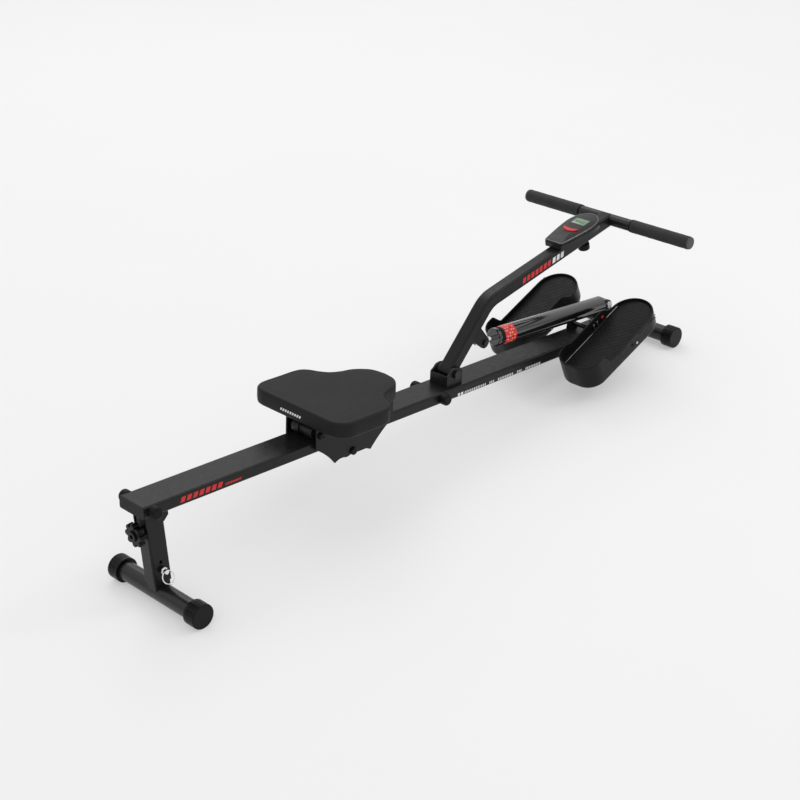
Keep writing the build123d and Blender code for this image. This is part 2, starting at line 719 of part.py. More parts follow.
def monitor_cover():
    """Upper shell with windows for the screen and the crescent key."""
    shell = extrude(Pos(0, 0, MONITOR_SPLIT) * monitor_outline(), amount=MONITOR_TOP - MONITOR_SPLIT)
    shell = fillet(shell.faces().sort_by(Axis.Z)[-1].edges(), 2.5)
    ceiling = MONITOR_TOP - MONITOR_WALL
    cavity = Pos(0, 0, MONITOR_BASE) * monitor_outline(MONITOR_WALL)
    shell -= extrude(cavity, amount=ceiling - MONITOR_BASE)
    u, length, width = SCREEN
    shell -= box(u - length / 2, u + length / 2, -width / 2, width / 2, MONITOR_SPLIT, MONITOR_TOP + 5)
    shell -= extrude(Pos(0, 0, MONITOR_SPLIT) * button_shape(0.5), amount=30)
    return UPPER_ARM * shell


def monitor_screen():
    """Display window, held from below by its rim."""
    u, length, width = SCREEN
    lip = 3.0
    seat = MONITOR_TOP - MONITOR_WALL
    pane = Pos(u, 0, seat) * extrude(Rectangle(length, width), amount=1.3)
    rim = Pos(u, 0, seat - 2.0) * extrude(Rectangle(length + 2 * lip, width + 2 * lip), amount=2.0)
    return UPPER_ARM * (pane + rim)


def monitor_button():
    """Crescent key with a stem over the board's switch."""
    key = extrude(Pos(0, 0, MONITOR_TOP - 5.0) * button_shape(), amount=6.2)
    stem = Pos(BUTTON_CENTRE[0] - 2, 0, MONITOR_TOP - 7.8) * extrude(Circle(2.5), amount=3.0)
    return UPPER_ARM * (key + stem)


def monitor_electronics():
    """Circuit board with its button switch, and the coin cell below the board."""
    board_low = MONITOR_SPLIT - 3.0
    board = box(-185, -70, -24, 24, board_low, board_low + 1.6)
    switch = Pos(BUTTON_CENTRE[0] - 2, 0, board_low + 1.6) * extrude(Circle(3.5), amount=2.0)
    cell = Pos(-90, 0, MONITOR_BASE + 3.5) * extrude(Circle(10), amount=3.2)
    return [UPPER_ARM * (board + switch), UPPER_ARM * cell]


CLAMP_U = -98.0
CLAMP_R = 15.0


def clamp_knob_stud_hole():
    """Bore in the arm's lower wall for the hand screw."""
    bore = Pos(CLAMP_U, 0, -ARM_DEPTH) * extrude(Circle(4.0), amount=ARM_DEPTH / 2 + 6)
    return UPPER_ARM * bore


def clamp_knob():
    """Fluted hand screw under the arm."""
    top = -ARM_DEPTH / 2 - 3.0
    knob = Pos(CLAMP_U, 0, top - 22) * extrude(Circle(CLAMP_R), amount=16)
    knob = fillet(knob.faces().sort_by(Axis.Z)[0].edges(), 3.0)
    flutes = 9
    for index in range(flutes):
        turn = Rot(0, 0, index * 360 / flutes)
        flute = Pos(CLAMP_R + 1.5, 0, 0) * extrude(Circle(3.2), amount=40)
        knob -= Pos(CLAMP_U, 0, top - 30) * turn * flute
    neck = Pos(CLAMP_U, 0, top - 6) * extrude(Circle(9), amount=6)
    stud = Pos(CLAMP_U, 0, top) * extrude(Circle(3.94), amount=12)
    return UPPER_ARM * (knob + neck + stud)


# ---------------------------------------------------------------- hydraulic cylinder

# Frame on the cylinder's axis: +X from the front pin towards the arm's lug
CYLINDER_SPAN = math.hypot(LUG_X - CYLINDER_PIN_X, LUG_Z - CYLINDER_PIN_Z)
CYLINDER_ANGLE = math.degrees(math.atan2(LUG_Z - CYLINDER_PIN_Z, CYLINDER_PIN_X - LUG_X))
CYLINDER = Pos(CYLINDER_PIN_X, 0, CYLINDER_PIN_Z) * Rot(0, CYLINDER_ANGLE, 0) * Rot(0, 0, 180)
BASE_END = 34.0
TUBE_END = CYLINDER_SPAN - 66.0
DIAL_END = TUBE_END + 12.0
HEAD_END = CYLINDER_SPAN - 46.0
HEAD_NECK_R = 16.0
FRONT_BOLT_R = 5.0


def turned(start, end, radius):
    """Solid cylinder along the cylinder frame's axis."""
    return Pos(start, 0, 0) * Rot(0, 90, 0) * extrude(Circle(radius), amount=end - start)


def cylinder_tube():
    """Oil-filled barrel."""
    barrel = turned(BASE_END, TUBE_END, CYLINDER_R)
    return CYLINDER * (barrel - turned(BASE_END, TUBE_END, CYLINDER_BORE_R))


def cylinder_head():
    """Gland cap around the rod, stepped down where the dial turns on it."""
    neck = turned(TUBE_END - 12, DIAL_END, HEAD_NECK_R)
    plug = turned(TUBE_END - 12, TUBE_END, CYLINDER_BORE_R)
    cap = fillet(turned(DIAL_END, HEAD_END, CYLINDER_R).faces().sort_by(Axis.X)[-1].edges(), 4.0)
    return CYLINDER * (neck + plug + cap - turned(0, CYLINDER_SPAN, ROD_R + 0.08))


def resistance_dial():
    """Fluted adjusting ring that turns on the head's neck."""
    ring = turned(TUBE_END + 0.4, DIAL_END - 0.4, CYLINDER_R)
    ring -= turned(0, CYLINDER_SPAN, HEAD_NECK_R + 0.06)
    notches = 30
    for index in range(notches):
        angle = (index + 0.5) * 360 / notches
        ring -= Rot(angle, 0, 0) * Pos(0, 0, CYLINDER_R + 0.8) * turned(0, CYLINDER_SPAN, 1.3)
    return CYLINDER * ring


def cylinder_base():
    """Closed end plug with the cross-drilled eye for the front bolt."""
    plug = turned(BASE_END, BASE_END + 14, CYLINDER_BORE_R)
    cap = turned(BASE_END - 12, BASE_END, CYLINDER_R)
    neck = box(0, BASE_END - 8, -9, 9, -13, 13)
    eye = cross_rod(0, 0, -9, 9, 13.0)
    return CYLINDER * (plug + cap + neck + eye - through_hole(0, 0, FRONT_BOLT_R + 0.05))


def piston_rod():
    """Chrome rod with its piston and the rubber-bushed rod end."""
    piston = turned(BASE_END + 220, BASE_END + 236, CYLINDER_BORE_R - 0.08)
    shaft = turned(BASE_END + 236, CYLINDER_SPAN - EYE_R + 2, ROD_R)
    eye = cross_rod(CYLINDER_SPAN, 0, -6.5, 6.5, EYE_R)
    return CYLINDER * (piston + shaft + eye - through_hole(CYLINDER_SPAN, 0, EYE_HOLE_R))


CLEVIS_INNER_Y = 10.0
CLEVIS_OUTER_Y = 14.0


def cylinder_bracket():
    """Two upright ears on a base plate, welded to the rail's top."""
    x = CYLINDER_PIN_X
    z = CYLINDER_PIN_Z
    front = x + 24
    rear = x - 20
    ear_r = 13.0
    plate = 4.0
    under_plate = RAIL * box(0, RAIL_LENGTH + 100, -60, 60, -200, 0)
    above_plate = RAIL * box(0, RAIL_LENGTH + 100, -60, 60, plate, 300)
    block = prism(((rear - 8, 50), (front + 8, 50), (front + 8, 100), (rear - 8, 100)), -26, 26)
    bracket = block - above_plate
    for side in (-1, 1):
        low = min(side * CLEVIS_INNER_Y, side * CLEVIS_OUTER_Y)
        high = max(side * CLEVIS_INNER_Y, side * CLEVIS_OUTER_Y)
        ear = prism(((rear, 50), (front, 50), (x + ear_r, z), (x - ear_r, z)), low, high)
        bracket += ear + cross_rod(x, z, low, high, ear_r)
    return bracket - under_plate - through_hole(x, z, FRONT_BOLT_R)


def cylinder_bolt():
    ends = (-CLEVIS_OUTER_Y, CLEVIS_OUTER_Y)
    return bolt_and_nut(CYLINDER_PIN_X, CYLINDER_PIN_Z, *ends, FRONT_BOLT_R, 17.0)


# ---------------------------------------------------------------- pedals

# Frame of a pedal: +X from heel to toe, +Z out of the foot bed, origin at the rim's heel
PEDAL = Pos(PEDAL_HEEL_X, 0, PEDAL_HEEL_Z) * Rot(0, -PEDAL_PITCH, 0)
PEDAL_CENTRE_Y = PEDAL_INNER_Y + PEDAL_WIDTH / 2
SHELL_WALL = 4.0
PAD_THICKNESS = 3.0
BELLY_R = 10.0
TOE_BED_START = 200.0
# Height of the wall over the rim: raised round the heel, and kept up along the side next to the rail
HEEL_RISE = 32.0
OUTER_RIM = ((58, 32), (84, 0))
INNER_RIM = ((58, 32), (78, 22), (206, 22), (242, 0))


def pedal_outline(side, inset=0.0):
    """Foot shape: rounded heel corners and a round toe."""
    half = PEDAL_WIDTH / 2 - inset
    heel = inset
    toe = PEDAL_LENGTH - inset
    corner = 46.0 - inset
    reach = PEDAL_LENGTH - PEDAL_WIDTH / 2
    centre = side * PEDAL_CENTRE_Y
    quarter = math.cos(math.radians(45))
    left_heel = (heel + corner * (1 - quarter), centre + half - corner * (1 - quarter))
    right_heel = (heel + corner * (1 - quarter), centre - half + corner * (1 - quarter))
    edges = [
        Line((heel, centre - half + corner), (heel, centre + half - corner)),
        ThreePointArc((heel, centre + half - corner), left_heel, (heel + corner, centre + half)),
        Line((heel + corner, centre + half), (reach, centre + half)),
        ThreePointArc((reach, centre + half), (toe, centre), (reach, centre - half)),
        Line((reach, centre - half), (heel + corner, centre - half)),
        ThreePointArc((heel + corner, centre - half), right_heel, (heel, centre - half + corner)),
    ]
    return make_face(edges)


def above_rim(side, points, near, far):
    """Cutter over a rim profile, between two distances from the machine's middle."""
    end = PEDAL_LENGTH + 5
    top = HEEL_RISE + 1
    outline = ((points[0][0], top), *points, (end, points[-1][1]), (end, top))
    return prism(outline, min(side * near, side * far), max(side * near, side * far))


def bed_profile(height):
    """Foot bed's side view, raised by a height: flat, then rising a little to the toe."""
    start = height - PEDAL_BED_DROP
    toe = height - PEDAL_TOE_DROP
    return ((-5, start), (TOE_BED_START, start), (PEDAL_LENGTH + 5, toe))


def below_bed(height):
    """Block under the foot bed's side view."""
    low = -PEDAL_TOE_DEPTH - 5
    return prism(((-5, low), *bed_profile(height), (PEDAL_LENGTH + 5, low)), -BAR_LENGTH, BAR_LENGTH)


def pedal_shell(side):
    """Foot tub: high heel, kept-up inner wall, round toe and a thick base for the axle."""
    body = extrude(Pos(0, 0, -PEDAL_TOE_DEPTH) * pedal_outline(side), amount=PEDAL_TOE_DEPTH)
    end = PEDAL_LENGTH + 5
    low = -PEDAL_TOE_DEPTH - 5
    under = ((-5, low), (-5, -PEDAL_HEEL_DEPTH), (end, -PEDAL_TOE_DEPTH), (end, low))
    body -= prism(under, -BAR_LENGTH, BAR_LENGTH)
    body = fillet(body.faces().sort_by(Axis.Z)[0].edges(), BELLY_R)
    wall = extrude(pedal_outline(side), amount=HEEL_RISE)
    wall -= above_rim(side, OUTER_RIM, PEDAL_CENTRE_Y, PEDAL_CENTRE_Y + PEDAL_WIDTH)
    wall -= above_rim(side, INNER_RIM, PEDAL_CENTRE_Y - PEDAL_WIDTH, PEDAL_CENTRE_Y)
    depth = PEDAL_BED_DROP + HEEL_RISE + 1
    cavity = extrude(Pos(0, 0, -PEDAL_BED_DROP) * pedal_outline(side, SHELL_WALL), amount=depth)
    shell = PEDAL * (body + wall - (cavity - below_bed(0.0)))
    return shell - through_hole(PEDAL_AXLE_X, PEDAL_AXLE_Z, PEDAL_AXLE_R + 0.06)


def pedal_pad(side):
    """Quilted rubber foot bed laid in the tub."""
    outline = pedal_outline(side, SHELL_WALL + 0.6)
    pad = extrude(Pos(0, 0, -PEDAL_BED_DROP) * outline, amount=PEDAL_BED_DROP)
    return PEDAL * ((pad & below_bed(PAD_THICKNESS)) - below_bed(0.0))


def pedal_axle():
    """Cross axle under both foot beds, with a collar at each inner side."""
    half = PEDAL_INNER_Y + PEDAL_WIDTH - 8.0
    shaft = cross_rod(PEDAL_AXLE_X, PEDAL_AXLE_Z, -half, half, PEDAL_AXLE_R)
    collar = 6.0
    collar_end = PEDAL_INNER_Y - 1.0
    for side in (-1, 1):
        shaft += between(side, collar_end - collar, collar_end, PEDAL_AXLE_X, PEDAL_AXLE_Z, 10.0)
    return shaft


def pedal_axle_mount():
    """Pillow blocks on the rail's top that hold the axle."""
    below = RAIL * box(0, RAIL_LENGTH + 100, -60, 60, -200, 0)
    x = PEDAL_AXLE_X
    z = PEDAL_AXLE_Z
    eye_r = 11.0
    blocks = []
    for side in (-1, 1):
        low = min(side * 24, side * 38)
        high = max(side * 24, side * 38)
        foot = prism(((x - 24, 60), (x + 24, 60), (x + eye_r, z), (x - eye_r, z)), low, high)
        block = foot + cross_rod(x, z, low, high, eye_r)
        blocks.append(block - below - through_hole(x, z, PEDAL_AXLE_R))
    return blocks


def main():
    os.makedirs("parts", exist_ok=True)
    half_foot = STABILISER_LENGTH / 2 - 6.0
    save("main_rail", main_rail())
    save("rail_end_caps", *rail_end_caps())
    save("rear_leg", rear_leg())
    save("leg_bracket", leg_bracket())
    save("leg_bolt", *leg_bolt())
    save("knob_spacer", knob_spacer())
    save("star_knob", star_knob())
    save("star_knob_stud", star_knob_stud())
    save("lock_pin", lock_pin())
    save("lock_pin_ring", lock_pin_ring())
    save("rear_stabiliser", stabiliser(0.0, 2 * half_foot))
    save("rear_foot_caps", *foot_caps(0.0))
    save("foot_stem", foot_stem())
    save("front_stabiliser", stabiliser(FOOT_SPACING, 2 * half_foot))
    save("front_foot_caps", *foot_caps(FOOT_SPACING))
    save("front_saddle", front_saddle())
    save("bumpers", *bumpers())
    save("seat_cushion", seat_cushion())
    save("seat_board", seat_board())
    save("carriage_bridge", carriage_bridge())
    save("carriage_plate_left", carriage_plate(1))
    save("carriage_plate_right", carriage_plate(-1))
    save("seat_screws", *seat_screws())
    save("roller_bolts", *roller_bolts())
    save("roller_spacers", *roller_spacers())
    axles = carriage_axles()
    save("rear_roller", roller(*axles[0], UPPER_ROLLER_R))
    save("front_roller", roller(*axles[1], UPPER_ROLLER_R))
    save("lower_roller", roller(*axles[2], LOWER_ROLLER_R))
    save("arm_bracket", arm_bracket())
    save("arm_pivot_bolt", *arm_pivot_bolt())
    save("pivot_sleeve", pivot_sleeve())
    save("pivot_bushes", *pivot_bushes())
    save("handle_arm", handle_arm())
    save("cylinder_lug", *cylinder_lug())
    save("lug_bolt", *lug_bolt())
    save("handlebar", handlebar())
    save("grip_left", grip(1))
    save("grip_right", grip(-1))
    save("grip_plugs", *grip_plugs())
    save("monitor_case", monitor_case())
    save("monitor_cover", monitor_cover())
    save("monitor_screen", monitor_screen())
    save("monitor_button", monitor_button())
    save("monitor_electronics", *monitor_electronics())
    save("clamp_knob", clamp_knob())
    save("cylinder_tube", cylinder_tube())
    save("cylinder_head", cylinder_head())
    save("cylinder_base", cylinder_base())
    save("resistance_dial", resistance_dial())
    save("piston_rod", piston_rod())
    save("cylinder_bracket", cylinder_bracket())
    save("cylinder_bolt", *cylinder_bolt())
    save("pedal_axle", pedal_axle())
    save("pedal_axle_mount", *pedal_axle_mount())
    for name, side in (("left", 1), ("right", -1)):
        save(f"pedal_{name}", pedal_shell(side))
        save(f"pedal_pad_{name}", pedal_pad(side))


main()
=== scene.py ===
import json
import math

import bmesh
import bpy
from mathutils import Matrix, Vector


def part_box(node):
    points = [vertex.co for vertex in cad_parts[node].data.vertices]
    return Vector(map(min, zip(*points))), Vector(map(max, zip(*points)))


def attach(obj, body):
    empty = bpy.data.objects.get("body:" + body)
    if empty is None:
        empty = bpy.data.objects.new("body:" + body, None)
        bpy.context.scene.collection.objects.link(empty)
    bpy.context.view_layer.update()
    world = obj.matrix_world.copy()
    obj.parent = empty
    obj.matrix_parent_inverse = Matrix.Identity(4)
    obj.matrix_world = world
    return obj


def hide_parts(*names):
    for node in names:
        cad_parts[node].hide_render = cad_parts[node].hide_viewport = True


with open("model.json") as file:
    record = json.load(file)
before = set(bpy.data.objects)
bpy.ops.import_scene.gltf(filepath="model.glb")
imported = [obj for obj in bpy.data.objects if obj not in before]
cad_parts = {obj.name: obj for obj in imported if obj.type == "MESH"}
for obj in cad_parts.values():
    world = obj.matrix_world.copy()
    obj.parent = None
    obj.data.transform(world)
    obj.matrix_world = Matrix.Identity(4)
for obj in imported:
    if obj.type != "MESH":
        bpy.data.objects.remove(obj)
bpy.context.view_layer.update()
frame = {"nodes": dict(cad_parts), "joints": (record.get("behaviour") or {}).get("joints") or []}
MM = 0.001


# ---------------------------------------------------------------- places taken from the frame


def joint(name):
    """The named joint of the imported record."""
    return next(j for j in frame["joints"] if j["name"] == name)


def middle(node):
    """Centre of a CAD node's box."""
    low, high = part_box(node)
    return (low + high) / 2


def tilted(origin, x_axis):
    """Matrix with its origin at a point and its X axis along a direction in the XZ plane."""
    x = Vector(x_axis).normalized()
    z = x.cross(Vector((0, 1, 0)))
    y = z.cross(x)
    rotation = Matrix((x, y, z)).transposed().to_4x4()
    return Matrix.Translation(origin) @ rotation


RAIL_HEIGHT = 28 * MM
RAIL_AXIS = Vector(joint("seat_slide")["axis"])
rail_low, rail_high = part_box("main_rail")
RAIL = tilted((rail_low.x - RAIL_HEIGHT * RAIL_AXIS.z, 0, rail_high.z), RAIL_AXIS)
RAIL_HALF_WIDTH = rail_high.y

BAR = middle("handlebar")
ARM_UP = Vector(joint("clamp_knob_turn")["axis"])
UPPER_ARM = tilted(BAR, Vector((0, 1, 0)).cross(ARM_UP))

CYLINDER = tilted(Vector(joint("cylinder_swing")["pos_m"]), joint("rod_slide")["axis"])
PIVOT = Vector(joint("arm_pull")["pos_m"])


# ---------------------------------------------------------------- materials


def link(tree, source, output, target, socket):
    """Wire one node's output to another's input."""
    tree.links.new(source.outputs[output], target.inputs[socket])


def node(tree, kind, **values):
    """New shader node; keyword values set its properties or its input sockets."""
    made = tree.nodes.new(kind)
    for key, value in values.items():
        if hasattr(made, key):
            setattr(made, key, value)
        else:
            made.inputs[key.replace("_", " ").title()].default_value = value
    return made


def finish(name, colour, roughness, metallic=0.0, mottle=0.2, mottle_scale=25.0, spread=0.08,
           grain=0.1, grain_scale=900.0, cells=False, coat=0.0, sheen=0.0, stretch=(1, 1, 1), specular=0.4):
    """Procedural surface: cloudy colour, uneven roughness and a fine grain in the bump."""
    material = bpy.data.materials.new(name)
    material.use_nodes = True
    tree = material.node_tree
    shader = tree.nodes["Principled BSDF"]
    shader.inputs["Metallic"].default_value = metallic
    shader.inputs["Coat Weight"].default_value = coat
    shader.inputs["Coat Roughness"].default_value = 0.12
    shader.inputs["Sheen Weight"].default_value = sheen
    shader.inputs["Sheen Roughness"].default_value = 0.4
    shader.inputs["Specular IOR Level"].default_value = specular
    place = node(tree, "ShaderNodeTexCoord")
    scaled = node(tree, "ShaderNodeMapping")
    scaled.inputs["Scale"].default_value = stretch
    link(tree, place, "Object", scaled, "Vector")
    cloud = node(tree, "ShaderNodeTexNoise", Scale=mottle_scale, Detail=5.0, Roughness=0.6)
    link(tree, scaled, "Vector", cloud, "Vector")
    tint = node(tree, "ShaderNodeValToRGB")
    tint.color_ramp.elements[0].position = 0.3
    tint.color_ramp.elements[1].position = 0.7
    tint.color_ramp.elements[0].color = [c * (1 - mottle) for c in colour] + [1]
    tint.color_ramp.elements[1].color = [min(1, c * (1 + mottle)) for c in colour] + [1]
    link(tree, cloud, "Fac", tint, "Fac")
    link(tree, tint, "Color", shader, "Base Color")
    smudge = node(tree, "ShaderNodeTexNoise", Scale=mottle_scale * 2.7, Detail=6.0, Roughness=0.65)
    link(tree, scaled, "Vector", smudge, "Vector")
    rough = node(tree, "ShaderNodeMapRange")
    rough.inputs["From Min"].default_value = 0.3
    rough.inputs["From Max"].default_value = 0.7
    rough.inputs["To Min"].default_value = max(0.02, roughness - spread)
    rough.inputs["To Max"].default_value = min(1.0, roughness + spread)
    link(tree, smudge, "Fac", rough, "Value")
    link(tree, rough, "Result", shader, "Roughness")
    if cells:
        fine = node(tree, "ShaderNodeTexVoronoi", Scale=grain_scale, feature="SMOOTH_F1")
        height = "Distance"
    else:
        fine = node(tree, "ShaderNodeTexNoise", Scale=grain_scale, Detail=3.0)
        height = "Fac"
    link(tree, scaled, "Vector", fine, "Vector")
    bump = node(tree, "ShaderNodeBump", Strength=grain, Distance=0.0006)
    link(tree, fine, height, bump, "Height")
    link(tree, bump, "Normal", shader, "Normal")
    return material


POWDER = finish("satin_powder_coat", (0.009, 0.009, 0.0094), 0.32, mottle=0.06, grain=0.14,
                grain_scale=1400.0, specular=0.21)
POWDER_ARM = finish("satin_arm_coat", (0.0085, 0.0085, 0.0089), 0.34, mottle=0.06, grain=0.14,
                    grain_scale=1400.0, specular=0.2)
TUBE_COAT = finish("gloss_tube_coat", (0.0095, 0.0095, 0.01), 0.3, mottle=0.08, grain=0.1,
                   grain_scale=1100.0)
MOULDED = finish("moulded_black_plastic", (0.0035, 0.0035, 0.0037), 0.32, mottle=0.1, grain=0.2,
                 grain_scale=1800.0, specular=0.16)
MONITOR = finish("monitor_black_plastic", (0.013, 0.013, 0.0135), 0.32, mottle=0.06, grain=0.15,
                 grain_scale=2000.0, specular=0.26)
TUB = finish("pedal_tub_plastic", (0.0055, 0.0055, 0.0057), 0.36, mottle=0.08, grain=0.25,
             grain_scale=1500.0, specular=0.17)
# Lighter grey: a painted highlight, used for the bright lines along the edges of the tub's wall slots
TUB_HIGHLIGHT_LINE = finish("painted_highlight_edge", (0.035, 0.035, 0.036), 0.3, mottle=0.1, grain=0.1)
BED = finish("quilted_bed_rubber", (0.0095, 0.0095, 0.0098), 0.5, mottle=0.1, grain=0.4,
             grain_scale=1200.0, cells=True, specular=0.16)
RUBBER = finish("bumper_rubber", (0.0045, 0.0045, 0.0047), 0.5, mottle=0.15, grain=0.3,
                grain_scale=700.0, specular=0.14)
FOAM = finish("grip_foam", (0.027, 0.027, 0.0275), 0.7, mottle=0.14, grain=0.9, grain_scale=650.0,
              sheen=0.12, specular=0.25)
VINYL = finish("seat_vinyl", (0.0125, 0.0125, 0.013), 0.5, mottle=0.03, mottle_scale=14.0, spread=0.02,
               grain=0.4, grain_scale=620.0, cells=True, specular=0.13)
PLUG = finish("grey_plug_plastic", (0.055, 0.055, 0.056), 0.45, mottle=0.1, grain=0.2)
CHROME = finish("polished_chrome", (0.88, 0.88, 0.89), 0.08, metallic=1.0, mottle=0.04, spread=0.03,
                grain=0.02)
STEEL = finish("zinc_plated_steel", (0.62, 0.62, 0.64), 0.28, metallic=1.0, mottle=0.1, grain=0.12,
               grain_scale=700.0)
BLACK_STEEL = finish("black_oxide_steel", (0.006, 0.006, 0.0065), 0.28, metallic=0.1, mottle=0.1,
                     grain=0.12)
GLOSS = finish("cylinder_gloss_enamel", (0.004, 0.004, 0.0042), 0.12, mottle=0.1, spread=0.03, grain=0.02,
               coat=1.0, specular=0.5)
NYLON = finish("dark_nylon", (0.009, 0.009, 0.009), 0.45, mottle=0.12, grain=0.2, specular=0.3)
PLYWOOD = finish("plywood", (0.022, 0.018, 0.015), 0.7, mottle=0.3, mottle_scale=30.0, grain=0.5,
                 grain_scale=300.0, stretch=(0.15, 1, 4))
RED = finish("red_key_plastic", (0.6, 0.015, 0.015), 0.35, mottle=0.08, grain=0.1)
RED_LABEL = finish("red_label_film", (0.62, 0.012, 0.012), 0.28, mottle=0.08, spread=0.05, grain=0.04,
                   coat=0.5)
YELLOW_MARK = finish("yellow_label_ink", (0.85, 0.45, 0.04), 0.35, mottle=0.08, grain=0.04)
PALE_MARK = finish("pale_print", (0.74, 0.74, 0.74), 0.4, mottle=0.05, grain=0.04)
PINK_MARK = finish("pale_label_ink", (0.8, 0.42, 0.4), 0.35, mottle=0.05, grain=0.04)
RED_MARK = finish("red_print", (0.6, 0.012, 0.014), 0.4, mottle=0.06, grain=0.04)
# Light satin metal: the real finish of the pedals' slide strips, and a painted highlight on the monitor's
# rim line
SLIDE_METAL_AND_RIM_HIGHLIGHT = finish("satin_slide_strip_and_rim_highlight", (0.3, 0.3, 0.31), 0.32, metallic=0.9, mottle=0.08, grain=0.1)
BEZEL = finish("display_bezel", (0.13, 0.135, 0.14), 0.35, mottle=0.06, grain=0.1)
DISPLAY = finish("display_green", (0.13, 0.23, 0.14), 0.22, mottle=0.1, mottle_scale=120.0, grain=0.02,
                 coat=0.6)
SEGMENT = finish("display_segment", (0.075, 0.13, 0.08), 0.3, mottle=0.05, grain=0.02)
BOARD = finish("circuit_board", (0.02, 0.13, 0.05), 0.35, mottle=0.3, grain=0.2)

NODE_FINISH = {
    POWDER: ("main_rail", "rear_leg", "leg_bracket", "front_saddle", "arm_bracket", "cylinder_bracket",
             "pedal_axle_mount", "carriage_bridge", "carriage_plate_left", "carriage_plate_right",
             "foot_stem"),
    POWDER_ARM: ("handle_arm", "cylinder_lug", "pivot_sleeve"),
    TUBE_COAT: ("rear_stabiliser", "front_stabiliser", "handlebar"),
    MOULDED: ("rail_end_caps", "knob_spacer", "star_knob", "rear_foot_caps", "front_foot_caps",
              "clamp_knob", "resistance_dial"),
    MONITOR: ("monitor_case", "monitor_cover"),
    TUB: ("pedal_left", "pedal_right"),
    BED: ("pedal_pad_left", "pedal_pad_right"),
    RUBBER: ("bumpers",),
    FOAM: ("grip_left", "grip_right"),
    PLUG: ("grip_plugs",),
    VINYL: ("seat_cushion",),
    PLYWOOD: ("seat_board",),
    STEEL: ("star_knob_stud", "cylinder_bolt", "seat_screws"),
    BLACK_STEEL: ("leg_bolt", "arm_pivot_bolt", "roller_bolts", "roller_spacers", "lug_bolt",
                  "pedal_axle"),
    CHROME: ("lock_pin", "lock_pin_ring", "piston_rod"),
    NYLON: ("rear_roller", "front_roller", "lower_roller", "pivot_bushes"),
    GLOSS: ("cylinder_tube", "cylinder_head", "cylinder_base"),
    DISPLAY: ("monitor_screen",),
    RED: ("monitor_button",),
    BOARD: ("monitor_electronics",),
}
for surface, names in NODE_FINISH.items():
    for name in names:
        mesh = frame["nodes"][name].data
        mesh.materials.clear()
        mesh.materials.append(surface)


# ---------------------------------------------------------------- mesh helpers


def piece(name, vertices, faces, surface, smooth=True):
    """Mesh object from points in the row frame."""
    mesh = bpy.data.meshes.new(name)
    mesh.from_pydata([tuple(v) for v in vertices], [], faces)
    mesh.validate()
    mesh.materials.append(surface)
    work = bmesh.new()
    work.from_mesh(mesh)
    bmesh.ops.recalc_face_normals(work, faces=work.faces)
    work.to_mesh(mesh)
    work.free()
    for face in mesh.polygons:
        face.use_smooth = smooth
    made = bpy.data.objects.new(name, mesh)
    bpy.context.scene.collection.objects.link(made)
    return made


def loft(name, rings, surface, caps=True, closed=False):
    """Skin over rings of equal length; closed joins the last ring to the first."""
    count = len(rings[0])
    vertices = [p for ring in rings for p in ring]
    faces = []
    spans = len(rings) if closed else len(rings) - 1
    for i in range(spans):
        a = i * count
        b = ((i + 1) % len(rings)) * count
        for k in range(count):
            n = (k + 1) % count
            faces.append((a + k, a + n, b + n, b + k))
    if caps and not closed:
        faces.append(tuple(range(count)))
        last = (len(rings) - 1) * count
        faces.append(tuple(last + k for k in range(count)))
    return piece(name, vertices, faces, surface)


def lathe(name, profile, place, surface, segments=48, closed=True):
    """Solid of revolution about the place's X axis; the profile lists (along, radius)."""
    rings = []
    for along, radius in profile:
        ring = []
        for k in range(segments):
            angle = 2 * math.pi * k / segments
            ring.append(place @ Vector((along, radius * math.cos(angle), radius * math.sin(angle))))
        rings.append(ring)
    return loft(name, rings, surface, closed=closed)


def sharpen(made, angle=35):
    """Shade smooth, with creases kept where faces meet at more than the angle."""
    for edge in made.data.edges:
        edge.use_edge_sharp = False
    work = bmesh.new()
    work.from_mesh(made.data)
    for edge in work.edges:
        edge.smooth = edge.calc_face_angle(0.0) < math.radians(angle)
    work.to_mesh(made.data)
    work.free()


def side_matrix(x, z, side):
    """Place whose X axis points outwards along Y on one side of the machine."""
    turn = Matrix.Rotation(side * math.pi / 2, 4, "Z")
    return Matrix.Translation((x, 0, z)) @ turn


def smooth_curve(points, steps):
    """Catmull-Rom points through an open list of 2-D points."""
    padded = [2 * points[0] - points[1]] + list(points) + [2 * points[-1] - points[-2]]
    out = []
    for i in range(1, len(padded) - 2):
        a, b, c, d = padded[i - 1:i + 3]
        for k in range(steps):
            t = k / steps
            out.append(0.5 * (2 * b + (c - a) * t + (2 * a - 5 * b + 4 * c - d) * t * t
                              + (3 * b - a - 3 * c + d) * t ** 3))
    out.append(points[-1].copy())
    return out


def resample(loop, count):
    """Closed loop of points at equal spacing."""
    lengths = [0.0]
    for i in range(len(loop)):
        lengths.append(lengths[-1] + (loop[(i + 1) % len(loop)] - loop[i]).length)
    out = []
    i = 0
    for k in range(count):
        target = lengths[-1] * k / count
        while lengths[i + 1] < target:
            i += 1
        t = (target - lengths[i]) / max(lengths[i + 1] - lengths[i], 1e-12)
        out.append(loop[i].lerp(loop[(i + 1) % len(loop)], t))
    return out


def inset(loop, amount):
    """Closed counter-clockwise loop moved inwards along its normals."""
    out = []
    for i, p in enumerate(loop):
        tangent = (loop[(i + 1) % len(loop)] - loop[i - 1]).normalized()
        out.append(p + Vector((-tangent.y, tangent.x)) * amount)
    return out


def shrunk(loop, centre, share):
    """Loop drawn towards a centre; a share of 1 leaves it as it is."""
    return [centre.lerp(p, share) for p in loop]


def bead(name, outline, place, level, radius, surface):
    """Thin round bead that follows a closed outline at one height."""
    rings = []
    for i, p in enumerate(outline):
        tangent = (outline[(i + 1) % len(outline)] - outline[i - 1]).normalized()
        outward = Vector((tangent.y, -tangent.x))
        ring = []
        for k in range(8):
            angle = 2 * math.pi * k / 8
            q = p + outward * (radius * math.cos(angle))
            ring.append(place @ Vector((q.x, q.y, level + radius * math.sin(angle))))
        rings.append(ring)
    return loft(name, rings, surface, closed=True)


# ---------------------------------------------------------------- seat cushion

